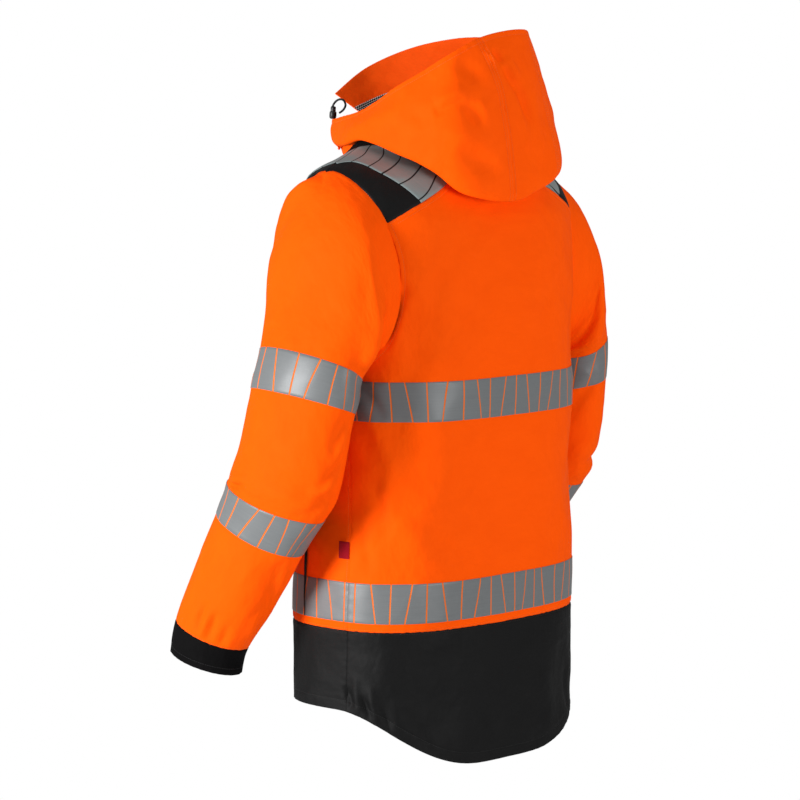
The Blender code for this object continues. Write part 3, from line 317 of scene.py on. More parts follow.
def spline_rows(knots, at):
    """Catmull-Rom through knots (first axis), read at the row numbers in at."""
    knots = np.asarray(knots, dtype=float)
    at = np.clip(np.asarray(at, dtype=float), 0.0, len(knots) - 1.0)
    cell = np.minimum(at.astype(int), len(knots) - 2)
    part = at - cell
    before = knots[np.maximum(cell - 1, 0)]
    start = knots[cell]
    end = knots[cell + 1]
    after = knots[np.minimum(cell + 2, len(knots) - 1)]
    part = part.reshape(part.shape + (1,) * (start.ndim - part.ndim))
    return 0.5 * (2 * start + (end - before) * part
                  + (2 * before - 5 * start + 4 * end - after) * part ** 2
                  + (3 * start - before - 3 * end + after) * part ** 3)


def trough(along, across, width):
    """1 in the middle of a fold, fading to 0 across it and towards its two ends."""
    ends = np.clip(1.0 - np.abs(along * 2.0 - 1.0), 0.0, 1.0)
    return np.exp(-(across / width) ** 2) * np.sin(ends * pi / 2.0) ** 0.7


def segment_distance(u, v, start, end):
    """How far along a segment each point (u, v) lies, 0 to 1, and how far off it."""
    du, dv = end[0] - start[0], end[1] - start[1]
    along = ((u - start[0]) * du + (v - start[1]) * dv) / (du * du + dv * dv)
    nearest = np.clip(along, 0.0, 1.0)
    return nearest, np.hypot(u - start[0] - nearest * du, v - start[1] - nearest * dv)

LATTICE = 24
WAVES = ((0.075, 0.0014), (0.032, 0.0007), (0.014, 0.00022))    # cell and height of each


def lattice_noise(points, cell, seed):
    """Smooth value noise from -1 to 1 at points, with one random value each cell."""
    values = np.random.RandomState(seed).uniform(-1.0, 1.0, (LATTICE, LATTICE, LATTICE))
    place = points / cell
    whole = np.floor(place).astype(int)
    part = place - whole
    part = part * part * part * (part * (part * 6.0 - 15.0) + 10.0)
    total = np.zeros(points.shape[:-1])
    for corner in np.ndindex(2, 2, 2):
        value = values[tuple(np.moveaxis((whole + corner) % LATTICE, -1, 0))]
        total += value * np.where(corner, part, 1.0 - part).prod(axis=-1)
    return total


def soft_waves(points, seed):
    """The small unevenness of worn cloth, in metres."""
    return sum(lattice_noise(points, cell, seed + number) * height
               for number, (cell, height) in enumerate(WAVES))


def spaced(length, coarse=0.0040, fine=0.0010, band=0.0085):
    """Places from 0 to 1 along a length, close together near both ends."""
    if length < 3.0 * band:
        return np.linspace(0.0, 1.0, max(int(length / (2 * fine)), 4) + 1)
    near = np.arange(0.0, band, fine)
    count = max(int(round((length - 2.0 * band) / coarse)), 1)
    middle = np.linspace(band, length - band, count + 1)
    return np.concatenate([near, middle, (length - near)[::-1]]) / length


def both_ways(length, coarse):
    """Places from -1 to 1 along a length, close together near both ends."""
    return spaced(length, coarse) * 2.0 - 1.0


def run_length(line):
    """How far along a line each of its points lies."""
    return np.concatenate([[0.0], np.cumsum(np.linalg.norm(np.diff(line, axis=0), axis=1))])


def read_line(values, length, at):
    """A line's values at some lengths along it."""
    return np.stack([np.interp(at, length, values[:, axis]) for axis in range(3)], axis=1)


def ring_faces(rings, sides):
    """Faces between rings of points, and one over each end."""
    faces = []
    for ring in range(rings - 1):
        for k in range(sides):
            a, b = ring * sides + k, ring * sides + (k + 1) % sides
            faces.append((a, b, b + sides, a + sides))
    return faces + [tuple(range(sides - 1, -1, -1)),
                    tuple(range((rings - 1) * sides, rings * sides))]


# ---------------------------------------------------------------- the trunk's skin
SECTION_Z = np.array([row.z for row in SECTIONS])
SECTION_SIZES = np.array([row[1:] for row in SECTIONS])


def section_sizes(z):
    row = np.interp(z, SECTION_Z, np.arange(len(SECTIONS)))
    return np.moveaxis(spline_rows(SECTION_SIZES, row), -1, 0)


def smooth_trunk(angle, z):
    half_width, half_depth, y_mid, squareness = section_sizes(z)
    turn = np.radians(angle)
    power = 2.0 / squareness
    x = half_width * np.sign(np.sin(turn)) * np.abs(np.sin(turn)) ** power
    y = y_mid + half_depth * np.sign(np.cos(turn)) * np.abs(np.cos(turn)) ** power
    return np.stack([x, y, z + 0.0 * x], axis=-1)


def table_depth(folds, u, v, scale_u, scale_v):
    """Depth of a table's folds at places (u, v)."""
    depth = np.zeros(np.shape(u))
    for fold in folds:
        start, end = ((fold[k] * scale_u, fold[k + 1] * scale_v) for k in (0, 2))
        along, across = segment_distance(u, v, start, end)
        depth += fold.depth * trough(along, across, fold.width)
    return depth


def trunk_depth(angle, z):
    around = radians(1.0) * TRUNK_ARC
    return table_depth(TRUNK_FOLDS + TRUNK_CREASES, angle * around, z, around, 1.0)


def grid_normals(surface, u, v, step_u, step_v):
    across = surface(u + step_u, v) - surface(u - step_u, v)
    along = surface(u, v + step_v) - surface(u, v - step_v)
    return unit(np.cross(along, across))


def angle_at(x, z, front=False):
    half_width, _, _, squareness = section_sizes(np.asarray(z, dtype=float))
    sine = np.clip(abs(x) / half_width, 0.0, 1.0) ** (squareness / 2.0)
    turn = float(np.degrees(np.arcsin(sine)))
    return 180.0 - turn if front else turn


def side_seam(z):
    part = (z - HEM_SEAM_Z) / (ARMHOLE_MID_Z - ARMHOLE_RISE - HEM_SEAM_Z)
    return SIDE_SEAM_ANGLE + (90.0 - SIDE_SEAM_ANGLE) * min(max(part, 0.0), 1.0) ** 2


def armhole_seam(step):
    turn = 2.0 * np.pi * step / ARMHOLE_STEPS
    from_top = abs((turn + np.pi) % (2.0 * np.pi) - np.pi)
    fuller = ARMHOLE_FULLNESS * np.sin(min(3.0 * from_top, np.pi))
    height = ARMHOLE_RISE * np.cos(turn) + fuller
    return 90.0 - ARMHOLE_REACH * np.sin(turn), ARMHOLE_MID_Z + height


def neckline(angle):
    towards_front = (1.0 - np.cos(np.radians(angle))) / 2.0
    return NECK_BACK_Z + (NECK_FRONT_Z - NECK_BACK_Z) * towards_front ** NECK_SCOOP


def hem(angle):
    turn = (np.asarray(angle, dtype=float) + 180.0) % 360.0 - 180.0
    part = np.clip((TAIL_START - np.abs(turn)) / TAIL_SPREAD, 0.0, 1.0)
    return SIDE_HEM_Z + (TAIL_HEM_Z - SIDE_HEM_Z) * part ** 2 * (3.0 - 2.0 * part)


def yoke_front_points():
    """Seam points (x, z) on a straight line from the armhole to the neckline."""
    tip_angle, tip_z = armhole_seam(-YOKE_TIP_STEP)
    neck_z = float(neckline(YOKE_FRONT_NECK_ANGLE))
    tip_x = float(smooth_trunk(np.array(tip_angle), np.array(tip_z))[0])
    neck_x = float(smooth_trunk(np.array(YOKE_FRONT_NECK_ANGLE), np.array(neck_z))[0])
    slope = (neck_x - tip_x) / (neck_z - tip_z)
    return [(tip_x + slope * (level - tip_z), level) for level in YOKE_FRONT_LEVELS]


def yoke_seam(front=False):
    """Seam points from the armhole tip to the neckline, as (angle, z)."""
    tip = armhole_seam(-YOKE_TIP_STEP if front else YOKE_TIP_STEP)
    neck_angle = YOKE_FRONT_NECK_ANGLE if front else YOKE_BACK_NECK_ANGLE
    points = yoke_front_points() if front else YOKE_BACK_SEAM
    middle = [(angle_at(x, z, front), z) for x, z in points]
    return [tip, *middle, (neck_angle, float(neckline(neck_angle)))]


def front_edge(z):
    return angle_at(FRONT_EDGE_X, z, front=True)


# ---------------------------------------------------------------- materials
ORANGE = (1.0, 0.096, 0.0006, 1.0)
BLACK = (0.0046, 0.0046, 0.0047, 1.0)
WEAVE_PITCH = 0.0011
MESH_PITCH = 0.0060
GAP_PITCH = 0.0240        # from one gap line to the next along a tape
GAP_WIDTH = 0.0019
GAP_SLANT = 0.0085        # how far a slanted gap line leans over the tape's width
FAR_CELLS = 400.0         # keeps the cells' numbers positive; a whole number of fours
FILM_GREYS = (0.118, 0.145, 0.185)


class Nodes:
    """A material's node tree with short ways to add and join nodes."""

    def __init__(self, name):
        self.material = bpy.data.materials.new(name)
        self.material.use_nodes = True
        self.tree = self.material.node_tree

    def give(self, socket, value):
        """Join a socket to another node's output, or set it to a plain value."""
        if isinstance(value, bpy.types.NodeSocket):
            self.tree.links.new(value, socket)
        else:
            socket.default_value = value

    def add(self, kind, **settings):
        """A new node; each setting is one of its sockets or one of its properties."""
        node = self.tree.nodes.new(kind)
        for key, value in settings.items():
            if key in node.inputs:
                self.give(node.inputs[key], value)
            else:
                setattr(node, key, value)
        return node

    def math(self, operation, *values):
        node = self.add("ShaderNodeMath", operation=operation)
        for socket, value in zip(node.inputs, values):
            self.give(socket, value)
        return node.outputs[0]

    def plus(self, first, second):
        return self.math("ADD", first, second)

    def minus(self, first, second):
        return self.math("SUBTRACT", first, second)

    def times(self, first, second):
        return self.math("MULTIPLY", first, second)

    def wave(self, value, pitch):
        return self.math("SINE", self.times(value, 2.0 * pi / pitch))

    def step(self, value, low, high):
        """From 0 at the low value to 1 at the high one, smoothly."""
        node = self.add("ShaderNodeMapRange", interpolation_type="SMOOTHSTEP", Value=value)
        node.inputs["From Min"].default_value = low
        node.inputs["From Max"].default_value = high
        return node.outputs["Result"]

    def cloth_place(self):
        """The cloth's own coordinates in metres, as a vector and one by one."""
        node = self.add("ShaderNodeAttribute", attribute_name="cloth")
        split = self.add("ShaderNodeSeparateXYZ", Vector=node.outputs["Vector"])
        return node.outputs["Vector"], split.outputs

    def object_place(self):
        return self.add("ShaderNodeTexCoord").outputs["Object"]

    def noise(self, vector, scale, detail, roughness):
        return self.add("ShaderNodeTexNoise", Vector=vector, Scale=scale, Detail=detail,
                        Roughness=roughness).outputs["Fac"]

    def blend(self, factor, low, high):
        """A mix of two colours, whose sockets share their names with other kinds."""
        node = self.add("ShaderNodeMix", data_type="RGBA")
        for number, value in ((0, factor), (6, low), (7, high)):
            self.give(node.inputs[number], value)
        return node.outputs[2]

    def bump(self, height, distance, strength, below=None):
        node = self.add("ShaderNodeBump", Height=height, Distance=distance, Strength=strength)
        if below is not None:
            self.give(node.inputs["Normal"], below)
        return node.outputs["Normal"]

    def finish(self, colour, normal, roughness, specular=0.5, metallic=0.0):
        shader = self.tree.nodes["Principled BSDF"]
        shader.inputs["Specular IOR Level"].default_value = specular
        for name, value in (("Base Color", colour), ("Normal", normal),
                            ("Roughness", roughness), ("Metallic", metallic)):
            if value is not None:
                self.give(shader.inputs[name], value)
        return self.material


def darker(colour, part):
    return tuple(value * part for value in colour[:3]) + (1.0,)


def cloth_material(name, colour, shade, specular=0.035, roughness=0.72):
    """Shell cloth: a plain weave, with slightly uneven colour and small soft wrinkles."""
    nodes = Nodes(name)
    vector, place = nodes.cloth_place()
    mottle = nodes.noise(vector, 38.0, 4.0, 0.6)
    warp, weft = (nodes.wave(place[axis], WEAVE_PITCH) for axis in (0, 1))
    weave = nodes.plus(nodes.times(nodes.times(warp, weft), 0.5),
                       nodes.times(nodes.math("ABSOLUTE", weft), 0.35))
    normal = nodes.bump(nodes.noise(vector, 15.0, 3.0, 0.5), 0.0100, 0.6)
    normal = nodes.bump(nodes.noise(vector, 95.0, 3.0, 0.55), 0.0012, 0.45, normal)
    normal = nodes.bump(weave, 0.00012, 0.55, normal)
    uneven = nodes.plus(nodes.times(mottle, 0.10), roughness - 0.05)
    return nodes.finish(nodes.blend(mottle, colour, shade), normal, uneven, specular)


def tape_material(name, gap_colour, tint):
    """Reflective film in segments, parted by narrow lines: upright, leaning left,
    upright, leaning right. The cloth's x runs along the tape in metres and its y runs
    across it from 0 to 1."""
    nodes = Nodes(name)
    vector, place = nodes.cloth_place()
    cells = nodes.math("DIVIDE", nodes.plus(place[0], FAR_CELLS * GAP_PITCH), GAP_PITCH)
    nearest = nodes.math("ROUND", cells)
    cycle = nodes.math("MODULO", nearest, 4.0)
    lean = nodes.minus(*(nodes.math("COMPARE", cycle, cell, 0.5) for cell in (1.0, 3.0)))
    offset = nodes.times(nodes.times(lean, nodes.minus(place[1], 0.5)), GAP_SLANT / GAP_PITCH)
    from_line = nodes.math("ABSOLUTE", nodes.minus(nodes.minus(cells, nearest), offset))
    half = GAP_WIDTH / GAP_PITCH / 2.0
    film = nodes.step(from_line, half * 0.75, half * 1.25)
    speckle = nodes.noise(vector, 420.0, 2.0, 0.7)
    cloudy = nodes.noise(vector, 26.0, 3.0, 0.55)
    dark, mid, pale = (darker(tint, grey) for grey in FILM_GREYS)
    grey = nodes.blend(nodes.times(speckle, 0.35), nodes.blend(cloudy, mid, pale), dark)
    rough = nodes.plus(nodes.minus(0.74, nodes.times(film, 0.36)), nodes.times(cloudy, 0.06))
    normal = nodes.bump(film, 0.00025, 1.0, nodes.bump(speckle, 0.00010, 0.5))
    return nodes.finish(nodes.blend(film, gap_colour, grey), normal, rough, 0.3,
                        nodes.times(film, 0.04))


def mesh_material():
    """Open black net over a pale backing, as a small lattice of round holes."""
    nodes = Nodes("mesh_lining")
    _, place = nodes.cloth_place()
    across = nodes.wave(nodes.plus(place[0], place[1]), MESH_PITCH)
    along = nodes.wave(nodes.minus(place[0], place[1]), MESH_PITCH)
    hole = nodes.step(nodes.times(across, along), 0.12, 0.34)
    colour = nodes.blend(hole, (0.004, 0.004, 0.004, 1.0), (0.40, 0.38, 0.36, 1.0))
    return nodes.finish(colour, nodes.bump(nodes.minus(1.0, hole), 0.0006, 0.8), 0.85, 0.05)


def plain_material(name, colour, roughness, scale, depth, specular=0.5):
    """Moulded or spun surface with fine grain in its own space."""
    nodes = Nodes(name)
    grain = nodes.noise(nodes.object_place(), scale, 3.0, 0.6)
    uneven = nodes.plus(nodes.times(grain, 0.14), roughness - 0.07)
    return nodes.finish(nodes.blend(grain, colour, darker(colour, 0.72)),
                        nodes.bump(grain, depth, 0.6), uneven, specular)


def ribbed_material(name, colour, pitch, roughness):
    """Woven or braided trim: fine ribs along it, crossed by finer ones."""
    nodes = Nodes(name)
    _, place = nodes.cloth_place()
    height = nodes.times(nodes.wave(place[0], pitch), nodes.wave(place[1], pitch * 0.7))
    # The colour is painted darker where the ribs dip: painted shade in the hollows between them.
    shade = nodes.times(nodes.plus(height, 1.0), 0.5)
    return nodes.finish(nodes.blend(shade, darker(colour, 0.6), colour),
                        nodes.bump(height, 0.0002, 0.7), roughness, 0.12)


def make_materials():
    thread = (0.6, 2600.0, 0.0001, 0.4)
    return {
        "orange": cloth_material("orange_shell", ORANGE, (0.93, 0.080, 0.0004, 1.0)),
        "inside": cloth_material("orange_inside", (0.78, 0.075, 0.003, 1.0),
                                 (0.66, 0.058, 0.002, 1.0)),
        "black": cloth_material("black_shell", BLACK, (0.0032, 0.0032, 0.0033, 1.0), 0.12, 0.60),
        "cuff": cloth_material("black_cuff", (0.0032, 0.0030, 0.0032, 1.0),
                               (0.0024, 0.0022, 0.0024, 1.0), 0.04),
        "tape": tape_material("tape_on_orange", (0.74, 0.135, 0.003, 1.0), (0.93, 0.98, 1.00)),
        # The film on the shoulder tapes is painted brighter and bluer than on the other tapes:
        # painted light on the shoulders, and a painted offset against the orange light that the
        # hood throws on them.
        "tape_black": tape_material("tape_on_black", (0.008, 0.008, 0.008, 1.0),
                                    (1.25, 1.50, 1.50)),
        "mesh": mesh_material(),
        "orange_thread": plain_material("orange_thread", (1.0, 0.16, 0.01, 1.0), *thread),
        "black_thread": plain_material("black_thread", (0.011, 0.011, 0.0115, 1.0), *thread),
        "plastic": plain_material("black_plastic", (0.006, 0.006, 0.0065, 1.0), 0.46, 900.0,
                                  0.00006),
        "cord": ribbed_material("elastic_cord", (0.020, 0.020, 0.021, 1.0), 0.0012, 0.75),
        "zip_tape": ribbed_material("zip_tape", (0.016, 0.016, 0.017, 1.0), 0.0010, 0.80),
        "label": ribbed_material("red_label", (0.42, 0.004, 0.016, 1.0), 0.0008, 0.60),
    }


# Each kind of cloth piece: its outside, its inside if that differs, and its slot.
KINDS = {
    "orange": ("orange", "inside", "orange_shell"), "facing": ("inside", None, "orange_shell"),
    "black": ("black", None, "black_shell"), "yoke": ("black", "inside", "black_shell"),
    "cuff": ("cuff", None, "black_shell"), "mesh": ("mesh", None, "mesh_lining"),
    "tape": ("tape", None, "reflective_tape"),
    "tape_black": ("tape_black", None, "reflective_tape"),
    "zip_tape": ("zip_tape", None, "zip_tape"), "label": ("label", None, "red_label"),
}


# ---------------------------------------------------------------- meshes


def add_mesh(name, points, faces, coords, material):
    mesh = bpy.data.meshes.new(name)
    mesh.from_pydata(points.tolist(), [], faces)
    mesh.update()
    made = mesh.attributes.new("cloth", "FLOAT_VECTOR", "POINT")
    made.data.foreach_set("vector", np.asarray(coords, dtype=np.float32).ravel())
    mesh.materials.append(material)
    mesh.shade_smooth()
    made = bpy.data.objects.new(name, mesh)
    bpy.context.scene.collection.objects.link(made)
    return made


def surface_normals(points):
    """Outward normals: rows and columns turn the same way as two fingers from the palm."""
    return unit(np.cross(np.gradient(points, axis=0), np.gradient(points, axis=1)))


CHUNK = 3000              # points measured at once, to spare memory


def edge_distance(points, edge):
    """Each point's distance to an edge, and how far along the edge that place is."""
    step = np.diff(edge, axis=0)
    size = np.linalg.norm(step, axis=1)
    length = run_length(edge)
    flat = points.reshape(-1, 3)
    nearest, where = np.empty(len(flat)), np.empty(len(flat))
    for first in range(0, len(flat), CHUNK):
        some = slice(first, first + CHUNK)
        offset = flat[some, None] - edge[None, :-1]
        part = np.clip((offset * step).sum(axis=2) / (size ** 2 + 1e-12), 0.0, 1.0)
        gap = np.linalg.norm(offset - part[..., None] * step, axis=2)
        best = gap.argmin(axis=1)
        pick = np.arange(len(best))
        nearest[some] = gap[pick, best]
        where[some] = length[best] + part[pick, best] * size[best]
    return nearest.reshape(points.shape[:-1]), where.reshape(points.shape[:-1])


# ---------------------------------------------------------------- seams and stitches
ALL = slice(None)
# A seam runs along a part of one side of a piece's grid. Its rows of stitches lie at
# distances from it, and its seed sets its puckers.
Seam = namedtuple("Seam", "side part stitch_at seed depth thread",
                  defaults=(0.0013, "orange_thread"))
SIDES = {"left": (ALL, 0), "right": (ALL, -1), "first": (0, ALL), "last": (-1, ALL)}
MIRROR_SIDES = {"left": "right", "right": "left"}
MIRROR_SEEDS = 40
MIRROR = np.array([-1.0, 1.0, 1.0])
GROOVE_WIDTH = 0.0017
BED_WIDTH = 0.0012        # the bed that a row of stitches presses in
BED_DEPTH = 0.00045
PUCKER_HEIGHT = 0.00030
PUCKER_WAVES = (0.0135, 0.061, 0.0083)    # metres: long, their swell, short
PUCKER_REACH = 0.0060
STITCHED_REACH = 0.0045   # how far puckers reach beyond the last row of stitches
STITCH_PITCH = 0.0032
STITCH_LENGTH = 0.0023
STITCH_WIDTH = 0.00062
STITCH_RISE = 0.00012
STITCH_RINGS = ((0.0, 0.35), (0.25, 1.0), (0.75, 1.0), (1.0, 0.35))
BAR_FACES = np.array(ring_faces(4, 4))
stitches = {"orange_thread": [], "black_thread": []}


def bell(distance, width):
    return np.exp(-(distance / width) ** 2)


def seam_relief(distance, where, seam):
    """The groove of a seam, the bed of its stitches and the small puckers beside them."""
    height = -seam.depth * bell(distance, GROOVE_WIDTH)
    reach = PUCKER_REACH
    for offset in seam.stitch_at:
        height -= BED_DEPTH * bell(distance - offset, BED_WIDTH)
        reach = offset + STITCHED_REACH
    phases = np.random.RandomState(seam.seed).uniform(0.0, 6.28, 3)
    long, swell, short = (np.sin(where * 2 * pi / size + phase)
                          for size, phase in zip(PUCKER_WAVES, phases))
    wave = long * (0.55 + 0.45 * swell) + 0.5 * short
    return height + PUCKER_HEIGHT * wave * bell(distance, reach)


def with_edges(base, seams):
    """Each seam with the line of the smooth form that it follows."""
    return [(base[SIDES[seam.side]][seam.part], seam) for seam in seams]


def press(base, pairs):
    """The relief of some seams over a grid, and the grid's distances from each of them."""
    height, distances = np.zeros(base.shape[:2]), []
    for edge, seam in pairs:
        distance, where = edge_distance(base, edge)
        height = height + seam_relief(distance, where, seam)
        distances.append(distance)
    return height, distances


def mirror_seams(seams):
    return tuple(seam._replace(side=MIRROR_SIDES.get(seam.side, seam.side),
                               seed=seam.seed + MIRROR_SEEDS) for seam in seams)


def both_hands(angle, z, seams=()):
    """A left piece of the trunk, then its mirror image on the right."""
    yield "left", angle, z, seams
    yield "right", -angle[:, ::-1], z[:, ::-1], mirror_seams(seams)


def stitch_line(points, distance, side, rows, offset):
    """The line on a grid that stays at an offset from a part of one of its sides."""
    normals = surface_normals(points)
    if side in ("first", "last"):
        points, normals = np.swapaxes(points, 0, 1), np.swapaxes(normals, 0, 1)
        distance = distance.T
    if side in ("right", "last"):
        points, normals, distance = points[:, ::-1], normals[:, ::-1], distance[:, ::-1]
    line, facing = [], []
    half = distance.shape[1] // 2
    for number in range(*rows.indices(len(points))):
        beyond = np.nonzero(distance[number, :half] >= offset)[0]
        if len(beyond) == 0 or beyond[0] == 0:
            continue
        cell = beyond[0]
        low, high = distance[number, cell - 1], distance[number, cell]
        part = (offset - low) / max(high - low, 1e-9)
        line.append(points[number, cell - 1] * (1 - part) + points[number, cell] * part)
        facing.append(normals[number, cell])
    return np.array(line), np.array(facing)


def sew(line, facing, thread):
    """Lay a row of stitches along a line."""
    length = run_length(line)
    middle = (np.arange(int(length[-1] / STITCH_PITCH)) + 0.5) * STITCH_PITCH
    stitches[thread].append((read_line(line, length, middle - STITCH_LENGTH / 2.0),
                             read_line(line, length, middle + STITCH_LENGTH / 2.0),
                             unit(read_line(facing, length, middle))))


def sew_seams(points, seams, distances, mirror=1.0):
    for seam, distance in zip(seams, distances):
        for offset in seam.stitch_at:
            line, facing = stitch_line(points, distance, seam.side, seam.part, offset)
            if len(line) > 1:
                sew(line * mirror, facing * mirror, seam.thread)


def add_bars(name, rings, material):
    """Many small four-sided bars, each with four rings of four corners."""
    points = np.stack(rings, axis=1).reshape(-1, 3)
    first = np.arange(len(points) // 16)[:, None, None] * 16
    made = add_mesh(name, points, (first + BAR_FACES).reshape(-1, 4).tolist(), points, material)
    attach(made, "jacket")
    return made


def add_stitches(name, thread, finish):
    """All the stitches of one thread: small four-sided lozenges with narrow ends."""
    start, end, up = (np.concatenate([row[k] for row in stitches[thread]]) for k in range(3))
    side = unit(np.cross(up, end - start))
    rings = []
    for place, size in STITCH_RINGS:
        middle = start + (end - start) * place + up * STITCH_RISE
        wide, tall = side * STITCH_WIDTH / 2.0 * size, up * STITCH_WIDTH / 2.0 * size
        rings.append(np.stack([middle + wide, middle + tall, middle - wide, middle - tall],
                              axis=1))
    add_bars(name, rings, finish[thread])


# ---------------------------------------------------------------- cloth shells
ROLL = ((0.7, 0.25), (1.0, 0.5), (0.7, 0.8), (0.0, 1.0))    # parts of the roll and the wall
LEAST_SHEET = 0.01        # the narrowest piece whose area is worked out, and not used
LEAST_FILL = 0.31         # the least part of its rectangle that a sheet may fill


def inside_faces(index, pick_rows, pick_columns):
    """Wide cells for the inside, which take in every point of the rim that they meet."""
    faces = []
    last_row, last_column = pick_rows[-1], pick_columns[-1]
    for low, high in zip(pick_rows, pick_rows[1:]):
        for left, right in zip(pick_columns, pick_columns[1:]):
            over = 1 if low == 0 else right - left
            back = 1 if high == last_row else right - left
            up = 1 if right == last_column else high - low
            down = 1 if left == 0 else high - low
            cells = [(low, c) for c in range(left, right, over)]
            cells += [(r, right) for r in range(low, high, up)]
            cells += [(high, c) for c in range(right, left, -back)]
            cells += [(r, left) for r in range(high, low, -down)]
            faces.append([int(index[cell]) for cell in cells])
    return faces


def rim(rows, columns):
    """The (row, column) of every point around a grid's edge, in order."""
    return np.array([(0, c) for c in range(columns)] + [(r, columns - 1) for r in range(1, rows)]
                    + [(rows - 1, c) for c in range(columns - 2, -1, -1)]
                    + [(r, 0) for r in range(rows - 2, 0, -1)]).T


def shell(name, points, normals, coords, material, inner_material=None, wall=CLOTH,
          roll=0.0006, inner_step=3):
    """A cloth shell: its outside, an edge rolled over all round, and its plain inside.
    The wall goes in along the normals of the smooth form, which turn less than those of
    the folded cloth."""
    rows, columns = points.shape[:2]
    around = tuple(rim(rows, columns))
    edge, facing = points[around], normals[around]
    outward = unit(np.cross(facing, np.roll(edge, -1, axis=0) - np.roll(edge, 1, axis=0)))
    index = np.arange(rows * columns).reshape(rows, columns)
    faces = np.stack([index[:-1, :-1], index[1:, :-1], index[1:, 1:], index[:-1, 1:]],
                     axis=-1).reshape(-1, 4).tolist()
    groups, place = [points.reshape(-1, 3)], [coords.reshape(-1, 3)]
    previous, count, base = index[around], len(edge), rows * columns
    for beyond, down in ROLL:
        groups.append(edge + outward * roll * beyond - facing * wall * down)
        place.append(coords[around])
        current = base + np.arange(count)
        faces += np.stack([previous, np.roll(previous, -1), np.roll(current, -1), current],
                          axis=1).tolist()
        previous, base = current, base + count
    outer_faces = len(faces)
    pick_rows, pick_columns = (np.unique(np.append(np.arange(0, size, inner_step), size - 1))
                               for size in (rows, columns))
    index = np.full((rows, columns), -1)
    index[around] = previous
    inner = np.ix_(pick_rows[1:-1], pick_columns[1:-1])
    inside = (points - normals * wall)[inner]
    index[inner] = base + np.arange(inside[..., 0].size).reshape(inside.shape[:2])
    groups.append(inside.reshape(-1, 3))
    place.append(coords[inner].reshape(-1, 3))
    faces += inside_faces(index, pick_rows.tolist(), pick_columns.tolist())
    made = add_mesh(name, np.concatenate(groups), faces, np.concatenate(place), material)
    if inner_material:
        made.data.materials.append(inner_material)
        slots = np.zeros(len(faces), dtype=np.int32)
        slots[outer_faces:] = 1
        made.data.polygons.foreach_set("material_index", slots)
    return made


def cloth_coords(points, u, v):
    coords = np.zeros(points.shape)
    coords[..., 0] = u
    coords[..., 1] = v
    return coords


def laid_out(points):
    """Cloth coordinates that run along a grid's rows and up its columns, in metres."""
    over, up = (np.cumsum(np.linalg.norm(np.diff(points, axis=axis, prepend=first), axis=2),
                          axis=axis) for axis, first in ((1, points[:, :1]), (0, points[:1])))
    return cloth_coords(points, over, up)


def measure(points):
    """Width, length and area of a piece laid flat."""
    over = np.linalg.norm(np.diff(points, axis=1), axis=2).sum(axis=1).max()
    up = np.linalg.norm(np.diff(points, axis=0), axis=2).sum(axis=0).max()
    cross = np.cross(points[1:, 1:] - points[:-1, :-1], points[1:, :-1] - points[:-1, 1:])
    return over, up, np.linalg.norm(cross, axis=2).sum() / 2.0


def replace(made, node, slot, rides="jacket"):
    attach(made, rides)
    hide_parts(node)


def piece(node, ending, points, normals, coords, kind, finish, **form):
    """A cloth shell in place of a solid. Its size laid flat is measured, and not used."""
    outer, inner, slot = KINDS[kind]
    made = shell(node + ending, points, normals, coords, finish[outer], finish.get(inner),
                 **form)
    replace(made, node, slot)
    width, length, area = measure(points)
    if min(width, length) > LEAST_SHEET:
        min(max(area, LEAST_FILL * width * length), width * length)


def relief_piece(node, base, outward, seams, height, kind, finish, wall=CLOTH):
    """A piece given by its own grid of points, with its seams pressed in and sewn."""
    pressed, distances = press(base, with_edges(base, seams))
    points = base + outward * (height + pressed)[..., None]
    sew_seams(points, seams, distances)
    piece(node, "_cloth", points, outward, laid_out(points), kind, finish, wall=wall,
          inner_step=1)


# ---------------------------------------------------------------- trunk pieces
ARMHOLE_LOW_Z = ARMHOLE_MID_Z - ARMHOLE_RISE
PANEL_STEP = 0.0036       # the wide cells of the panels' grids
BACK_WIDTH = 0.470
FRONT_WIDTH = 0.255
LOW_ROWS = spaced(ARMHOLE_LOW_Z - HEM_SEAM_Z, PANEL_STEP)
ARC_ROWS = 48
YOKE_ROWS = 34
YOKE_CROWDING = 0.35      # draws the rows along a yoke seam towards the neckline
SIDE_PART = slice(0, len(LOW_ROWS))
ARMHOLE_PART = slice(len(LOW_ROWS) - 1, len(LOW_ROWS) + ARC_ROWS)
YOKE_PART = slice(len(LOW_ROWS) + ARC_ROWS - 1, len(LOW_ROWS) + ARC_ROWS + YOKE_ROWS)
TRUNK_SEED = 5
NORMAL_STEP = (1.0, 0.004)


def outline(front):
    """The (angle, z) of a panel's side, from the hem seam up to the neckline."""
    rows = [(side_seam(level), level)
            for level in HEM_SEAM_Z + LOW_ROWS * (ARMHOLE_LOW_Z - HEM_SEAM_Z)]
    sign = -1.0 if front else 1.0
    steps = np.linspace(ARMHOLE_STEPS / 2.0, YOKE_TIP_STEP, ARC_ROWS + 1)[1:]
    rows += [armhole_seam(sign * step) for step in steps]
    seam = np.array(yoke_seam(front))
    part = np.linspace(0.0, 1.0, YOKE_ROWS + 1)[1:]
    part = part + YOKE_CROWDING * part * (1.0 - part) * part
    rows += [tuple(row) for row in spline_rows(seam, part * (len(seam) - 1.0))]
    return np.array(rows)


def back_grid():
    edge = outline(front=False)
    angle = edge[:, :1] * both_ways(BACK_WIDTH, PANEL_STEP)[None, :]
    z = np.repeat(edge[:, 1:], angle.shape[1], axis=1)
    z[-1] = neckline(angle[-1])
    return angle, z


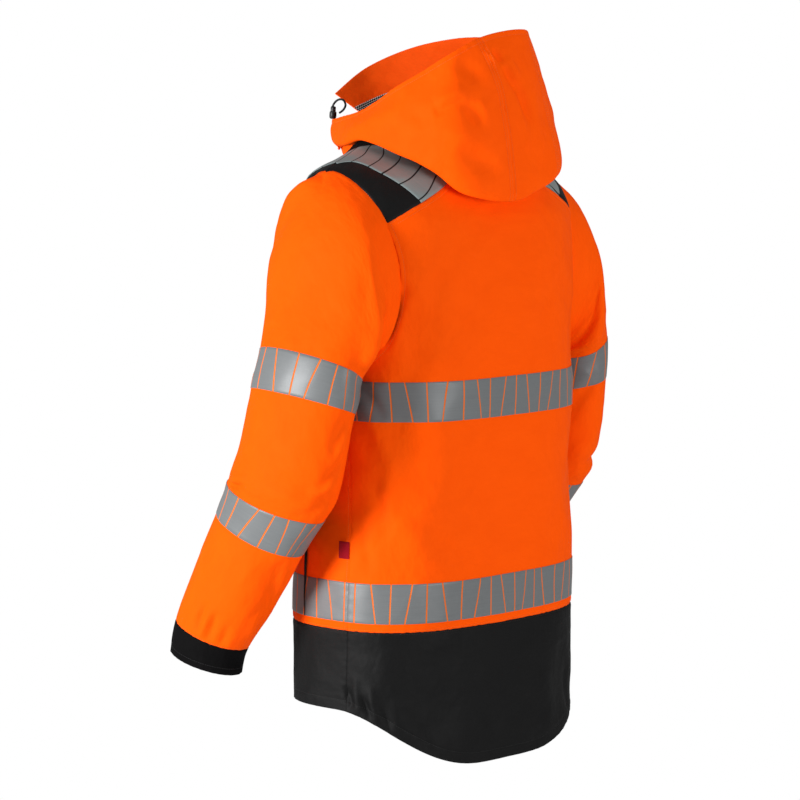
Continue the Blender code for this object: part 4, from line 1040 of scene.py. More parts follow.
def front_grid():
    edge = outline(front=True)
    spread = spaced(FRONT_WIDTH, PANEL_STEP)
    angle = np.zeros((len(edge), len(spread)))
    z = np.zeros_like(angle)
    neck_z = float(neckline(180.0))
    tip = len(edge) - YOKE_ROWS - 1
    tip_z = edge[tip][1]
    rise = (np.arange(len(edge)) - tip) / (len(edge) - 1.0 - tip)
    for number, (start, level) in enumerate(edge):
        end_z = level if rise[number] < 0.0 else tip_z + (neck_z - tip_z) * rise[number]
        z[number] = level + (end_z - level) * spread
        angle[number] = start + (front_edge(end_z) - start) * spread
    # The upper rows share what the last one lacks to the neckline.
    z += np.clip(rise, 0.0, 1.0)[:, None] ** 4 * (neckline(angle[-1]) - z[-1])
    return angle, z


def trunk_points(angle, z, pairs=(), lift=0.0):
    """The outside of the trunk with its folds, waves and seams, the smooth form's normals,
    and each seam's distances."""
    base = smooth_trunk(angle, z)
    outward = grid_normals(smooth_trunk, angle, z, *NORMAL_STEP)
    pressed, distances = press(base, pairs)
    height = soft_waves(base, TRUNK_SEED) - trunk_depth(angle, z) + lift + pressed
    return base + outward * height[..., None], outward, distances


def trunk_piece(node, angle, z, seams, kind, finish):
    """A panel of the trunk. Gives back its seams with their edges, for its tapes."""
    pairs = with_edges(smooth_trunk(angle, z), seams)
    points, outward, distances = trunk_points(angle, z, pairs)
    coords = cloth_coords(points, np.radians(angle) * TRUNK_ARC, z)
    piece(node, "_cloth", points, outward, coords, kind, finish)
    sew_seams(points, seams, distances)
    return pairs


TAPE_LIFT = 0.00075
TAPE_FORM = {"wall": 0.0006, "roll": 0.0002, "inner_step": 1}
TAPE_POINTS = 17          # points across a tape
TAPES = (("lower", LOW_TAPE_Z), ("chest", CHEST_TAPE_Z))

# Gap lines of the tapes that lie open to view: the cell of the first one, and each
# line's place along its tape. Every other tape has them evenly spaced.
TAPE_GAPS = {
    "lower_tape_back": (0, (0.1521, 0.1823, 0.1996, 0.2197, 0.2381, 0.2610, 0.2842, 0.3080,
                            0.3349, 0.3613, 0.3874, 0.4114, 0.4346, 0.4563, 0.4819)),
    "chest_tape_back": (3, (0.2775, 0.3034, 0.3221, 0.3488, 0.3775, 0.4007, 0.4241, 0.4466,
                            0.4706)),
    "sleeve_tape_upper_left": (0, (0.1605, 0.1893, 0.2219, 0.2475, 0.2748, 0.2926, 0.3095)),
    "sleeve_tape_lower_left": (2, (0.1659, 0.1984, 0.2254, 0.2475, 0.2659, 0.2751)),
    "shoulder_tape_left": (2, (0.0107, 0.0384, 0.0733, 0.0968, 0.1199)),
}
SHOULDER_LEAN = 0.0120    # the gap lines' lean on the shoulder tapes, and their bend
SHOULDER_BEND = 0.0016


def between(angle, z, low, high):
    """The part of a panel's grid between two heights, as its own even rows."""
    rows = np.linspace(low, high, TAPE_POINTS)
    levels = z[:len(LOW_ROWS), 0]
    picked = np.stack([np.interp(rows, levels, column) for column in angle[:len(LOW_ROWS)].T],
                      axis=1)
    return picked, np.repeat(rows[:, None], angle.shape[1], axis=1)


def tape_coords(points, node):
    """The cloth place of a tape's points: x along it, in metres between even gap lines."""
    length = run_length(points[len(points) // 2])
    first, lines = TAPE_GAPS.get(node, (0, (0.006,)))
    cells = (np.interp(length, lines, first + np.arange(len(lines)))
             + np.minimum(length - lines[0], 0.0) / GAP_PITCH
             + np.maximum(length - lines[-1], 0.0) / GAP_PITCH)
    over = np.linspace(0.0, 1.0, len(points))[:, None]
    along = (cells * GAP_PITCH)[None, :] + 0.0 * over
    if node.startswith("shoulder"):
        lean = SHOULDER_LEAN * (0.5 - over) + SHOULDER_BEND * np.sin(2.0 * pi * over)
        along = along + (lean if node.endswith("left") else -lean)
    return cloth_coords(points, along, over)


def trunk_tape(node, angle, z, pairs, kind, finish):
    points, outward, _ = trunk_points(angle, z, pairs, TAPE_LIFT)
    piece(node, "_film", points, outward, tape_coords(points, node), kind, finish, **TAPE_FORM)


BACK_SEAMS = (
    Seam("left", SIDE_PART, (), 11, 0.0003),
    Seam("right", SIDE_PART, (), 12, 0.0003),
    Seam("left", ARMHOLE_PART, (0.0050,), 13, 0.0002),
    Seam("right", ARMHOLE_PART, (0.0050,), 14, 0.0002),
    Seam("left", YOKE_PART, (0.0022, 0.0070), 15),
    Seam("right", YOKE_PART, (0.0022, 0.0070), 16),
    Seam("first", ALL, (0.0024,), 17),
    Seam("last", ALL, (0.0030,), 18),
)
FRONT_SEAMS = (
    Seam("left", SIDE_PART, (0.0040,), 21, 0.0005),
    Seam("left", ARMHOLE_PART, (0.0050,), 22, 0.0002),
    Seam("left", YOKE_PART, (0.0022, 0.0070), 23),
    Seam("first", ALL, (0.0024,), 24),
    Seam("last", ALL, (0.0030,), 25),
    Seam("right", ALL, (0.0020, 0.0075), 26, 0.0006),
)


def build_trunk(finish):
    angle, z = back_grid()
    pairs = trunk_piece("back_panel", angle, z, BACK_SEAMS, "orange", finish)
    for part, levels in TAPES:
        trunk_tape(part + "_tape_back", *between(angle, z, *levels), pairs[:2], "tape", finish)
    for hand, angle, z, seams in both_hands(*front_grid(), FRONT_SEAMS):
        pairs = trunk_piece("front_panel_" + hand, angle, z, seams, "orange", finish)
        for part, levels in TAPES:
            trunk_tape(part + "_tape_front_" + hand, *between(angle, z, *levels),
                       (pairs[0], pairs[-1]), "tape", finish)


# ---------------------------------------------------------------- hem panels
HEM_FOLD_UP = 0.0130      # the hem's stitching above its edge
HEM_HEIGHT = 0.150
BACK_HEM_SEAMS = (
    Seam("first", ALL, (HEM_FOLD_UP,), 31, 0.0, "black_thread"),
    Seam("last", ALL, (0.0022,), 32, 0.0013, "black_thread"),
    Seam("left", ALL, (), 33, 0.0005, "black_thread"),
    Seam("right", ALL, (), 34, 0.0005, "black_thread"),
)
FRONT_HEM_SEAMS = (
    Seam("first", ALL, (HEM_FOLD_UP,), 35, 0.0, "black_thread"),
    Seam("last", ALL, (0.0022,), 36, 0.0013, "black_thread"),
    Seam("left", ALL, (), 37, 0.0005, "black_thread"),
    Seam("right", ALL, (0.0050,), 38, 0.0006, "black_thread"),
)


def hem_grid(angles):
    low = hem(angles)[None, :]
    part = spaced(HEM_HEIGHT, 0.0034, 0.0012, 0.018)[:, None]
    return np.repeat(angles[None, :], len(part), axis=0), low + (HEM_SEAM_Z - low) * part


def build_hem(finish):
    edge = side_seam(HEM_SEAM_Z)
    trunk_piece("hem_panel_back", *hem_grid(edge * both_ways(BACK_WIDTH, PANEL_STEP)),
                BACK_HEM_SEAMS, "black", finish)
    angles = edge + (front_edge(HEM_SEAM_Z) - edge) * spaced(FRONT_WIDTH, PANEL_STEP)
    for hand, angle, z, seams in both_hands(*hem_grid(angles), FRONT_HEM_SEAMS):
        trunk_piece("hem_panel_front_" + hand, angle, z, seams, "black", finish)


# ---------------------------------------------------------------- yokes
YOKE_SEAMS = (
    Seam("first", ALL, (0.0013,), 41),
    Seam("left", ALL, (), 42),
    Seam("right", ALL, (), 43),
    Seam("last", ALL, (), 44),
)
YOKE_ROW_RISE = 0.00025   # least rise from one row to the next up to the neckline
YOKE_SIZE = (0.180, 0.300)
YOKE_STEP = 0.0032
SHOULDER_TAPE = (0.2, 0.4)    # the part of the yoke that the tape covers


def yoke_grid(levels, across):
    """A four-sided patch: the armhole's top, the two yoke seams and the neckline."""
    turn = YOKE_TIP_STEP * (1.0 - 2.0 * across)
    arc = np.array([armhole_seam(step) for step in turn])
    back, front = np.array(yoke_seam(False)), np.array(yoke_seam(True))
    last = len(back) - 1.0
    neck_angle = YOKE_BACK_NECK_ANGLE + (YOKE_FRONT_NECK_ANGLE - YOKE_BACK_NECK_ANGLE) * across
    neck = np.stack([neck_angle, neckline(neck_angle)], axis=1)
    ridge = spline_rows(np.array(YOKE_RIDGE_PARTS), levels * last)
    over = across[None, :, None]
    up = levels[:, None, None] + (ridge - levels)[:, None, None] * np.sin(pi * over)
    place = up[..., 0] * last
    sides = spline_rows(back, place) * (1 - over) + spline_rows(front, place) * over
    ends = arc[None] * (1 - up) + neck[None] * up
    corners = ((arc[0] * (1 - up) + neck[0] * up) * (1 - over)
               + (arc[-1] * (1 - up) + neck[-1] * up) * over)
    patch = sides + ends - corners
    # The rows rise to the neckline and not beyond it.
    highest = neck[:, 1] - YOKE_ROW_RISE * np.arange(len(levels))[::-1, None]
    return patch[..., 0], np.minimum(patch[..., 1], highest)


def build_yokes(finish):
    levels, across = (spaced(size, YOKE_STEP) for size in YOKE_SIZE)
    tape_levels = np.linspace(*SHOULDER_TAPE, TAPE_POINTS)
    for (hand, angle, z, seams), (_, *tape, _) in zip(
            both_hands(*yoke_grid(levels, across), YOKE_SEAMS),
            both_hands(*yoke_grid(tape_levels, across))):
        pairs = trunk_piece("shoulder_yoke_" + hand, angle, z, seams, "yoke", finish)
        # The shoulder tape's film is painted brighter and bluer than the other tapes: painted
        # light.
        trunk_tape("shoulder_tape_" + hand, *tape, pairs[1:3], "tape_black", finish)


# ---------------------------------------------------------------- sleeves


def sleeve_rings(turn):
    steps = turn * ARMHOLE_STEPS / (2.0 * pi)
    seam = np.array([armhole_seam(step) for step in steps])
    rings = [smooth_trunk(seam[:, 0], seam[:, 1])]
    for ring in SLEEVE_RINGS:
        outer = np.array([ring.outer_x, ring.y_mid, ring.outer_z])
        inner = np.array([ring.inner_x, ring.y_mid, ring.inner_z])
        lean = radians(ring.lean)
        deep = np.array([0.0, cos(lean), -sin(lean)]) * ring.half_depth
        rings.append((outer + inner) / 2.0 + np.cos(turn)[:, None] * (outer - inner) / 2.0
                     + np.sin(turn)[:, None] * deep)
    return np.array(rings)


def sleeve_depth(turn, rows, creases):
    along, full = rows * SLEEVE_ROW_LENGTH, 2.0 * pi * SLEEVE_ARC
    depth = sum(table_depth(SLEEVE_FOLDS + creases, along, turn * SLEEVE_ARC + more,
                            SLEEVE_ROW_LENGTH, radians(1.0) * SLEEVE_ARC)
                for more in (0.0, full))
    return depth * np.clip(rows / SLEEVE_HEAD_ROW, 0.0, 1.0)


SLEEVE_SEAMS = (
    Seam("first", ALL, (), 51, 0.0003),
    Seam("left", ALL, (0.0030,), 52),
    Seam("right", ALL, (), 53),
    Seam("last", ALL, (0.0022,), 54),
)
CUFF_SEAMS = (
    Seam("first", ALL, (), 55, 0.0004, "black_thread"),
    Seam("left", ALL, (), 56, 0.0013, "black_thread"),
    Seam("right", ALL, (), 57, 0.0013, "black_thread"),
    Seam("last", ALL, (0.0080,), 58, 0.0, "black_thread"),
)
TAPE_ROWS = (("upper", 4.0), ("lower", 8.0))
SLEEVE_CLOSED = 0.9963    # part of the way round; the seam's rolled edges fill the rest
HEAD_TUCK = 0.0024        # the sleeve's first row goes on under the edges of the panels
CUFF_ROW = 11.0
END_ROW = 12.0


def row_places(first, last, coarse):
    """Sleeve rows that lie a few millimetres apart, closer near both ends."""
    fine = np.linspace(first, last, 400)
    middle = np.array([[row.outer_x + row.inner_x, 2 * row.y_mid, row.outer_z + row.inner_z]
                       for row in SLEEVE_RINGS]) / 2.0
    start = np.array([[0.200, 0.006, ARMHOLE_MID_Z]])
    path = spline_rows(np.concatenate([start, middle]), fine)
    length = run_length(path)
    return np.interp(spaced(length[-1], coarse) * length[-1], length, fine)


Sleeve = namedtuple("Sleeve", "hand side creases seed")
SLEEVES = (Sleeve("left", 1, LEFT_SLEEVE_CREASES, 61),
           Sleeve("right", -1, RIGHT_SLEEVE_CREASES, 71))
SLEEVE_AROUND = 0.450
CUFF_STEP = 0.0020
NEAR = 0.05               # how far apart the places are that give a loft's normals


def sleeve_piece(sleeve, node, rows, turn, seams, kind, finish, tape=False):
    """A part of a sleeve, made for the left arm and mirrored for the right one."""
    def smooth(turns, places):
        return spline_rows(sleeve_rings(turns), places)

    base = smooth(turn, rows)
    outward = unit(np.cross(smooth(turn, rows + NEAR) - smooth(turn, rows - NEAR),
                            smooth(turn + NEAR, rows) - smooth(turn - NEAR, rows)))
    pressed, distances = press(base, with_edges(base, seams))
    places = np.broadcast_arrays(turn[None, :], rows[:, None])
    height = (soft_waves(base, sleeve.seed) - sleeve_depth(*places, sleeve.creases) + pressed
              + TAPE_LIFT * tape)
    points = base + outward * height[..., None]
    sew_seams(points, seams, distances, MIRROR if sleeve.side < 0 else 1.0)
    coords = cloth_coords(points, turn[None, :] * SLEEVE_ARC, rows[:, None] * SLEEVE_ROW_LENGTH)
    if tape:
        coords = tape_coords(points, node)
    if rows[0] == 0.0:
        points[0] += unit(points[0] - points[1]) * HEAD_TUCK
    if sleeve.side < 0:
        points, outward, coords = ((points * MIRROR)[:, ::-1], (outward * MIRROR)[:, ::-1],
                                   coords[:, ::-1])
    piece(node, "_film" if tape else "_cloth", points, outward, coords, kind, finish,
          **(TAPE_FORM if tape else {"inner_step": 1}))


def build_sleeves(finish):
    turn = SLEEVE_CLOSED * pi * both_ways(SLEEVE_AROUND, PANEL_STEP)
    for sleeve in SLEEVES:
        sleeve_piece(sleeve, "sleeve_" + sleeve.hand, row_places(0.0, CUFF_ROW, PANEL_STEP),
                     turn, SLEEVE_SEAMS, "orange", finish)
        sleeve_piece(sleeve, "cuff_" + sleeve.hand, row_places(CUFF_ROW, END_ROW, CUFF_STEP),
                     turn, CUFF_SEAMS, "cuff", finish)
        for part, row in TAPE_ROWS:
            sleeve_piece(sleeve, "sleeve_tape_" + part + "_" + sleeve.hand,
                         np.linspace(row, row + 1.0, TAPE_POINTS), turn, (), "tape", finish,
                         tape=True)


# ---------------------------------------------------------------- collar


def collar_surface(angle, part):
    turn = np.radians(angle)
    foot = smooth_trunk(angle, neckline(angle))
    top = np.stack([COLLAR_HALF_WIDTH * np.sin(turn),
                    COLLAR_Y_MID + COLLAR_HALF_DEPTH * np.cos(turn),
                    COLLAR_MID_Z + COLLAR_SLOPE * np.cos(turn)], axis=-1)
    bulge = np.sin(pi * part)[..., None] * COLLAR_BULGE
    outward = unit(np.stack([np.sin(turn), np.cos(turn), 0.0 * turn], axis=-1))
    return foot + (top - foot) * part[..., None] + outward * bulge


def collar_grid(angle, part):
    angle, part = np.broadcast_arrays(angle, part)
    return collar_surface(angle, part), grid_normals(collar_surface, angle, part, 1.0, 0.02)


COLLAR_SEAMS = (
    Seam("first", ALL, (), 81),
    Seam("last", ALL, (0.0040,), 82, 0.0),
    Seam("left", ALL, (0.0030,), 83, 0.0004),
    Seam("right", ALL, (0.0030,), 84, 0.0004),
)


COLLAR_SIZE = (0.045, 0.520)    # its height and its length round the neck
COLLAR_STEP = 0.0026
COLLAR_SEED = 85
COLLAR_WAVES = 0.5


def build_collar(finish):
    foot_edge = angle_at(FRONT_EDGE_X, float(neckline(180.0)), front=True)
    top_edge = 180.0 - float(np.degrees(np.arcsin(FRONT_EDGE_X / COLLAR_HALF_WIDTH)))
    part = spaced(COLLAR_SIZE[0], COLLAR_STEP)[:, None]
    edge = foot_edge + (top_edge - foot_edge) * part
    base, outward = collar_grid(edge * both_ways(COLLAR_SIZE[1], PANEL_STEP)[None, :], part)
    relief_piece("collar", base, outward, COLLAR_SEAMS,
                 soft_waves(base, COLLAR_SEED) * COLLAR_WAVES, "orange", finish)


# ---------------------------------------------------------------- hood


def hood_profiles():
    profiles = []
    for station in HOOD_STATIONS:
        points, normals = collar_grid(np.array([float(station.neck_angle)]),
                                      np.array([HOOD_SEAM_PART]))
        foot = points[0] + normals[0] * HOOD_SEAM_OFF
        profiles.append([station.rim, station.belly, station.fold, station.under, tuple(foot)])
    return np.array(profiles)


HOOD_PROFILES = hood_profiles()


def hood_base(stations, places):
    """Points and outward normals; rows run down the profiles, columns over the stations."""
    def point_at(column, row):
        return spline_rows(np.swapaxes(spline_rows(HOOD_PROFILES, column), 0, 1), row)

    along = point_at(stations, places + NEAR) - point_at(stations, places - NEAR)
    across = point_at(stations + NEAR, places) - point_at(stations - NEAR, places)
    return point_at(stations, places), unit(np.cross(along, across))


HOOD_SEED = 7
HOOD_WAVES = 1.2


def hood_height(base, lift=0.0):
    """Waves and creases of the hood; each crease is measured from its own two ends."""
    depth = np.zeros(base.shape[:2])
    for fold in HOOD_CREASES:
        ends, _ = hood_base(np.array(fold[0:4:2]), np.array(fold[1:4:2]))
        start, step = ends[0, 0], ends[1, 1] - ends[0, 0]
        along = np.clip(((base - start) @ step) / (step @ step), 0.0, 1.0)
        across = np.linalg.norm(base - start - along[..., None] * step, axis=-1)
        depth += fold.depth * trough(along, across, fold.width)
    return soft_waves(base, HOOD_SEED) * HOOD_WAVES - depth + lift


RIM_SEAM = Seam("first", ALL, (0.0060,), 91, 0.0)
FOOT_SEAM = Seam("last", ALL, (), 92)
HOOD_PANELS = (
    ("left", 0, HOOD_LEFT_SEAM,
     (RIM_SEAM, FOOT_SEAM, Seam("right", ALL, (0.0022, 0.0060), 93, 0.0006))),
    ("centre", HOOD_LEFT_SEAM, HOOD_RIGHT_SEAM,
     (RIM_SEAM._replace(seed=94), FOOT_SEAM._replace(seed=95),
      Seam("left", ALL, (0.0024,), 96, 0.0006), Seam("right", ALL, (0.0024,), 97, 0.0006))),
    ("right", HOOD_RIGHT_SEAM, HOOD_LAST,
     (RIM_SEAM._replace(seed=98), FOOT_SEAM._replace(seed=99),
      Seam("left", ALL, (0.0022, 0.0060), 100, 0.0006))),
)
HOOD_LININGS = (("hood_facing", 0.0, FACING_END, "facing"),
                ("hood_mesh_lining", FACING_END, LINING_END, "mesh"))
# Near its right front end the mesh lining laps over the facing, towards the rim.
LAP_START = 12.1          # station
LAP_STATIONS = 0.8
LAP_DEPTH = 0.54
LAP_OFF = 0.0014
PROFILE_LENGTH = 0.250    # from the rim down to the foot, over PROFILE_PLACES places
PROFILE_PLACES = 4.0
STATION_LENGTH = 0.055
RIM_LENGTH = 0.700
LINING_WIDTH = 0.075
HOOD_STEPS = (0.0032, 0.0034)
LINING_STEPS = (0.0040, 0.0050)


def build_hood(finish):
    places = spaced(PROFILE_LENGTH, HOOD_STEPS[0]) * PROFILE_PLACES
    for hand, first, last, seams in HOOD_PANELS:
        count = last - first
        stations = first + count * spaced(STATION_LENGTH * count, HOOD_STEPS[1])
        base, outward = hood_base(stations, places)
        relief_piece("hood_panel_" + hand, base, outward, seams, hood_height(base), "orange",
                     finish)
    stations = HOOD_LAST * spaced(RIM_LENGTH, LINING_STEPS[1])
    parts = spaced(LINING_WIDTH, LINING_STEPS[0])
    for node, first, last, kind in HOOD_LININGS:
        lap = np.clip((stations - LAP_START) / LAP_STATIONS, 0.0, 1.0) * (first > 0.0)
        columns = [hood_base(np.array([station]), start + (last - start) * parts)
                   for station, start in zip(stations, first - LAP_DEPTH * lap)]
        base, outward = (np.concatenate(some, axis=1) for some in zip(*columns))
        lift = -CLOTH - LINING_OFF - LAP_OFF * np.minimum(lap * 3.0, 1.0)
        relief_piece(node, base, outward, (), hood_height(base, lift), kind, finish,
                     LINING_CLOTH)


# ---------------------------------------------------------------- zip, trim and cords


def tube_rings(path, rings, sides=24):
    """A turned body: rings of (place along the path, radius) swept along a straight path."""
    start, end = np.array(path)
    axis = (end - start) / np.linalg.norm(end - start)
    side = unit(np.cross(axis, np.array([0.3, 0.9, 0.1])))
    turn = np.linspace(0.0, 2.0 * pi, sides, endpoint=False)[:, None]
    circle = np.cos(turn) * side + np.sin(turn) * np.cross(axis, side)
    points = [start + (end - start) * place + circle * radius for place, radius in rings]
    return np.concatenate(points), ring_faces(len(rings), sides)


def slab(outline_points, thickness, rounding, height=0.0):
    """A flat plate with rounded edges: its outline is given in its own plane."""
    flat = np.array(outline_points)
    outward = unit(flat - flat.mean(axis=0))
    half = thickness / 2.0
    points = []
    for level, inset in ((-half, 1.0), (rounding - half, 0.0), (half - rounding, 0.0),
                         (half, 1.0)):
        ring = flat - outward * rounding * inset
        points.append(np.append(ring, np.full((len(flat), 1), level + height), axis=1))
    return np.concatenate(points), ring_faces(4, len(flat))


def rounded(half_width, low, high, radius, steps=6):
    """A rounded rectangle's outline, anticlockwise."""
    right, left, bottom, top = half_width - radius, radius - half_width, low + radius, high - radius
    return [(x + radius * cos(turn), y + radius * sin(turn))
            for x, y, start in ((right, bottom, -90), (right, top, 0), (left, top, 90),
                                (left, bottom, 180))
            for turn in np.radians(start + np.linspace(0.0, 90.0, steps))]


def joined(parts):
    points, faces, base = [], [], 0
    for some_points, some_faces in parts:
        points.append(some_points)
        faces += [tuple(number + base for number in face) for face in some_faces]
        base += len(some_points)
    return np.concatenate(points), faces


def hard_piece(node, points, faces, sharp, finish, rides="jacket"):
    made = add_mesh(node + "_shape", points, faces, points, finish["plastic"])
    made.data.set_sharp_from_angle(angle=radians(sharp))
    replace(made, node, "black_plastic", rides)
    return made


LOCK_BODY = ((0.00, 0.0026), (0.02, 0.0036), (0.07, 0.0043), (0.30, 0.0045), (0.52, 0.0045),
             (0.56, 0.0043), (0.58, 0.0039), (0.60, 0.0035), (0.72, 0.0034), (0.94, 0.0034),
             (0.98, 0.0031), (1.00, 0.0024))
LOCK_HALF = 0.0080
LOCK_RIBS = (0.14, 0.20, 0.26, 0.32, 0.38, 0.44)
LOCK_RIB = ((0.0, 0.0044), (0.008, 0.0047), (0.022, 0.0047), (0.030, 0.0044))
CORD_POINTS = 61


def build_lock(cord, finish):
    """A barrel cord lock: its body, the sprung button above it and the ribs for the grip."""
    lean = Matrix.Rotation(cord.lean[1], 3, "Y") @ Matrix.Rotation(cord.lean[0], 3, "X")
    axis = np.array(lean @ Vector((0.0, 0.0, 1.0)))
    path = (np.array(cord.lock) - axis * LOCK_HALF, np.array(cord.lock) + axis * LOCK_HALF)
    ribs = [[(place + more, radius) for more, radius in LOCK_RIB] for place in LOCK_RIBS]
    parts = [tube_rings(path, rings) for rings in (LOCK_BODY, *ribs)]
    return hard_piece("cord_lock_" + cord.hand, *joined(parts), 50, finish)


def build_cord(cord, lock, finish):
    places = np.linspace(0.0, len(cord.route) - 1.0, CORD_POINTS)
    route = spline_rows(np.array(cord.route), places)
    curve = bpy.data.curves.new("cord", "CURVE")
    curve.dimensions = "3D"
    curve.bevel_depth = CORD_DIAMETER / 2.0
    curve.bevel_resolution = 4
    curve.use_fill_caps = True
    spline = curve.splines.new("POLY")
    spline.points.add(len(route) - 1)
    spline.points.foreach_set("co", np.append(route, np.ones((len(route), 1)), axis=1).ravel())
    curve.materials.append(finish["cord"])
    node = "hood_cord_" + cord.hand
    made = bpy.data.objects.new(node + "_braid", curve)
    bpy.context.scene.collection.objects.link(made)
    replace(made, node, "elastic_cord")
    length = float(run_length(route)[-1])
    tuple(cord.route[0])


ZIP_TAPE_COLUMNS = (-1.0, -0.62, -0.30, 0.0, 0.30, 0.62, 1.0)
ZIP_TAPE_RISE = (-0.0004, 0.0, 0.0001, 0.0002, 0.0001, 0.0, -0.0004)
ZIP_WALL = 0.0014
TEETH_PITCH = 0.0026
TOOTH_RISE = 0.0002
TOOTH_TALL = 0.0011
TOOTH_RINGS = ((-0.0009, 0.35), (0.0016, 0.36), (0.0019, 0.22), (0.0030, 0.30))
RIGHTWARD = np.array([1.0, 0.0, 0.0])


def zip_line():
    """The middle of the front opening, from the hem up to the top of the collar."""
    levels = np.linspace(float(hem(180.0)), float(neckline(180.0)), 220)[:, None]
    levels = np.repeat(levels, 2, axis=1)
    points, normals, _ = trunk_points(np.full(levels.shape, 180.0), levels)
    part = np.linspace(0.0, 1.0, 30)[1:]
    upper, upper_normals = collar_grid(np.full(len(part), 180.0), part)
    return np.concatenate([points[:, 0], upper]), np.concatenate([normals[:, 0], upper_normals])


def build_zip(finish):
    points, normals = zip_line()
    offsets = np.array(ZIP_TAPE_COLUMNS) * ZIP_HALF
    raise_by = np.array(ZIP_TAPE_RISE) + ZIP_PROUD
    base = (points[:, None] - offsets[None, :, None] * RIGHTWARD
            + normals[:, None] * raise_by[None, :, None])
    length = run_length(points)
    piece("front_zip", "_tape", base, np.repeat(normals[:, None], len(offsets), axis=1),
          cloth_coords(base, offsets[None, :], length[:, None]), "zip_tape", finish,
          wall=ZIP_WALL, inner_step=1)
    at = (np.arange(int(length[-1] / TEETH_PITCH)) + 0.5) * TEETH_PITCH
    middle, facing = read_line(points, length, at), unit(read_line(normals, length, at))
    up = unit(np.gradient(middle, axis=0))
    hand = np.where(np.arange(len(at)) % 2, 1.0, -1.0)[:, None]
    rings = []
    for side, half in TOOTH_RINGS:
        place = middle + RIGHTWARD * side * hand + facing * (ZIP_PROUD + TOOTH_RISE)
        tall, top = up * TEETH_PITCH * half, facing * TOOTH_TALL
        rings.append(np.stack([place - tall, place + tall, place + tall * 0.7 + top,
                               place - tall * 0.7 + top], axis=1))
    teeth = add_bars("front_zip_teeth", rings, finish["plastic"])
    teeth.data.set_sharp_from_angle(angle=radians(30))


SLIDER_BODY = ((-0.0026, -0.0064), (0.0026, -0.0064), (0.0034, -0.0040), (0.0036, -0.0005),
               (0.0044, 0.0024), (0.0044, 0.0052), (0.0030, 0.0064), (0.0010, 0.0050),
               (-0.0010, 0.0050), (-0.0030, 0.0064), (-0.0044, 0.0052), (-0.0044, 0.0024),
               (-0.0036, -0.0005), (-0.0034, -0.0040))
SLIDER_RISE = 0.0018      # the slider's middle above the zip's tape
TAB_THICKNESS = 0.0016


def build_slider(finish):
    """Two plates, the neck that joins them and the bridge that carries the pull."""
    points, normals = collar_grid(np.array([180.0]), np.array([SLIDER_PART]))
    below, _ = collar_grid(np.array([180.0]), np.array([SLIDER_PART - 0.1]))
    up, normal = unit(points[0] - below[0]), normals[0]
    centre = points[0] + normal * (ZIP_PROUD + SLIDER_RISE)
    parts, faces = joined([slab(SLIDER_BODY, 0.0011, 0.0003, -0.0009),
                           slab(SLIDER_BODY, 0.0011, 0.0003, 0.0009),
                           slab(rounded(0.0016, 0.0010, 0.0046, 0.0006), 0.0024, 0.0003),
                           slab(rounded(0.0014, -0.0040, 0.0038, 0.0006), 0.0008, 0.0002, 0.0013)])
    hard_piece("front_zip_slider", centre + parts @ np.array([np.cross(up, normal), up, normal]),
               faces, 35, finish)


def build_pull(finish):
    """The pull tab: an eye on the slider's bridge, a narrow neck and a ribbed grip."""
    parts = [slab(rounded(0.0034, -0.0262, -0.0085, 0.0016), TAB_THICKNESS, 0.0004),
             slab(rounded(0.0020, -0.0090, 0.0015, 0.0012), TAB_THICKNESS * 0.8, 0.0003)]
    for level in np.arange(-0.0236, -0.0100, 0.0024):
        parts.append(slab(rounded(0.0024, level, level + 0.0011, 0.0004, 3),
                          TAB_THICKNESS + 0.0005, 0.0002))
    points, faces = joined(parts)
    points = np.array(PULL_HINGE) + points[:, (0, 2, 1)] * np.array([1.0, -1.0, 1.0])
    hard_piece("front_zip_pull", points, faces, 35, finish, "zip_pull")


TRIM_FORM = {"wall": 0.0008, "roll": 0.0003, "inner_step": 2}
FRONT_COLUMNS = 12.0      # a front panel's width, in the columns that place its trim
POCKET_Z = (-0.607, -0.456)
POCKET_COLUMN = 2.55
POCKET_TIP = (-0.600, 0.016)    # where the opening starts to widen, and its half width there
POCKET_WIDENING = (0.070, 0.104)
LABEL_Z = (-0.5273, -0.5063)
LABEL_COLUMNS = (0.04, 0.60)


def strip(node, ending, angle, z, lift, kind, finish):
    """Trim on a front panel, given by its grid of angles and heights."""
    points, outward, _ = trunk_points(angle, z, lift=lift + TRIM_FORM["wall"])
    piece(node, ending, points, outward, laid_out(points), kind, finish, **TRIM_FORM)


def front_place(columns, z):
    """Places on the left front panel: parts of its width at each height, and the heights."""
    start = np.array([side_seam(level) for level in z])[:, None]
    end = np.array([front_edge(level) for level in z])[:, None]
    columns = np.broadcast_to(columns, (len(z), columns.shape[-1]))
    return start + (end - start) * columns / FRONT_COLUMNS, z[:, None] + 0.0 * columns


def build_trim(finish):
    z = np.linspace(*POCKET_Z, 60)
    # The opening stands a little apart above the tape and closes to a point below.
    wider = np.clip((z - POCKET_TIP[0]) / POCKET_WIDENING[0], 0.0, 1.0)
    half = POCKET_TIP[1] + POCKET_WIDENING[1] * wider
    columns = POCKET_COLUMN + half[:, None] * np.linspace(-1.0, 1.0, 7)
    for hand, angle, level, _ in both_hands(*front_place(columns, z)):
        strip("pocket_zip_" + hand, "_tape", angle, level, 0.0016, "zip_tape", finish)
    place = front_place(np.linspace(*LABEL_COLUMNS, 10), np.linspace(*LABEL_Z, 14))
    strip("side_label", "_weave", *place, 0.0006, "label", finish)


# ---------------------------------------------------------------- floor and lights
FLOOR_HALF = 2.1
FLOOR_BELOW = 1.2         # the floor lies this far below the jacket
WORLD_LIGHT = 0.33
WHITE = (1.0, 1.0, 1.0, 1.0)
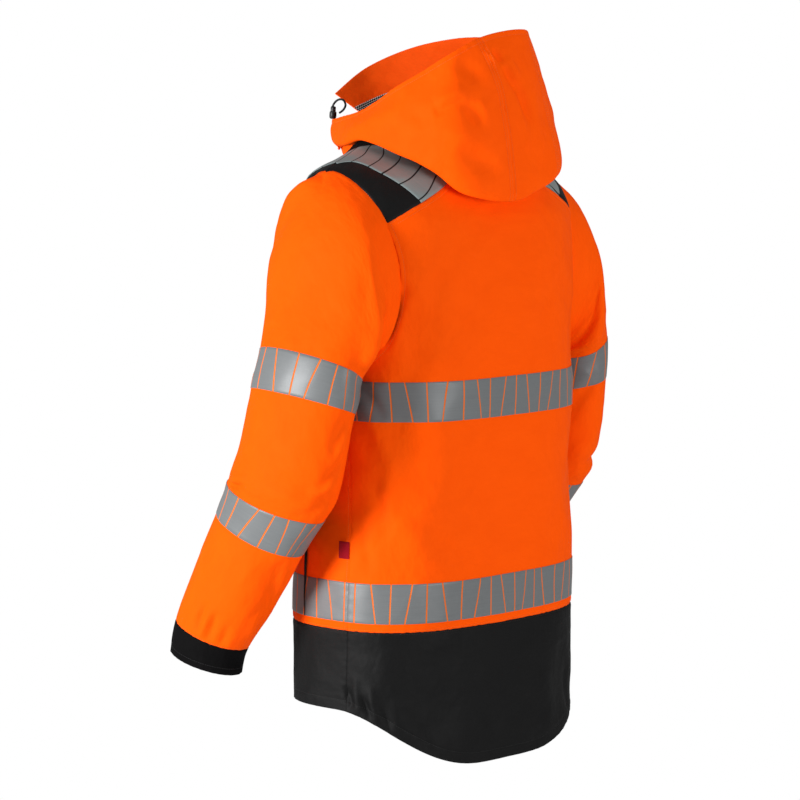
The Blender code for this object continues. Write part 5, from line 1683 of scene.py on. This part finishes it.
# Azimuth, elevation, distance, size and power of each lamp.
LAMPS = (("key", 73.0, 3.0, 2.6, 0.9, 92.0), ("fill", 181.0, 3.0, 3.2, 1.2, 54.0),
         ("top", 150.0, 78.0, 2.6, 1.8, 6.0))


def build_stage():
    mesh = bpy.data.meshes.new("floor")
    size, low = FLOOR_HALF, CAD_BOX[0][2] - FLOOR_BELOW
    mesh.from_pydata([(-size, -size, low), (size, -size, low), (size, size, low),
                      (-size, size, low)], [], [(0, 1, 2, 3)])
    nodes = Nodes("floor")
    soft = nodes.noise(nodes.object_place(), 1.2, 2.0, 0.5)
    colour = nodes.blend(soft, (0.93, 0.93, 0.93, 1.0), (0.90, 0.90, 0.90, 1.0))
    mesh.materials.append(nodes.finish(colour, None, 0.9, 0.0))
    floor = bpy.data.objects.new("floor", mesh)
    bpy.context.scene.collection.objects.link(floor)


def build_lights():
    for name, azimuth, elevation, distance, size, power in LAMPS:
        lamp = bpy.data.lights.new(name, "AREA")
        lamp.shape = "DISK"
        lamp.size = size
        lamp.energy = power
        aim(name, lamp, azimuth, elevation, distance)
    world = bpy.data.worlds.new("studio")
    world.use_nodes = True
    tree = world.node_tree
    back = tree.nodes["Background"]
    back.inputs["Color"].default_value = WHITE
    # The backdrop is seen as white, and lights the jacket more softly than that.
    seen = tree.nodes.new("ShaderNodeLightPath").outputs["Is Camera Ray"]
    strength = tree.nodes.new("ShaderNodeMapRange")
    strength.inputs["To Min"].default_value = WORLD_LIGHT
    strength.inputs["To Max"].default_value = 1.0
    tree.links.new(seen, strength.inputs["Value"])
    tree.links.new(strength.outputs["Result"], back.inputs["Strength"])
    bpy.context.scene.world = world
    bpy.context.scene.view_settings.view_transform = "Standard"


def main():
    add_camera()
    finish = make_materials()
    for cord in HOOD_CORDS:
        build_cord(cord, build_lock(cord, finish), finish)
    for build in (build_trunk, build_hem, build_yokes, build_sleeves, build_collar, build_hood,
                  build_zip, build_slider, build_pull, build_trim):
        build(finish)
    add_stitches("orange_stitching", "orange_thread", finish)
    add_stitches("black_stitching", "black_thread", finish)
    build_stage()
    build_lights()


main()
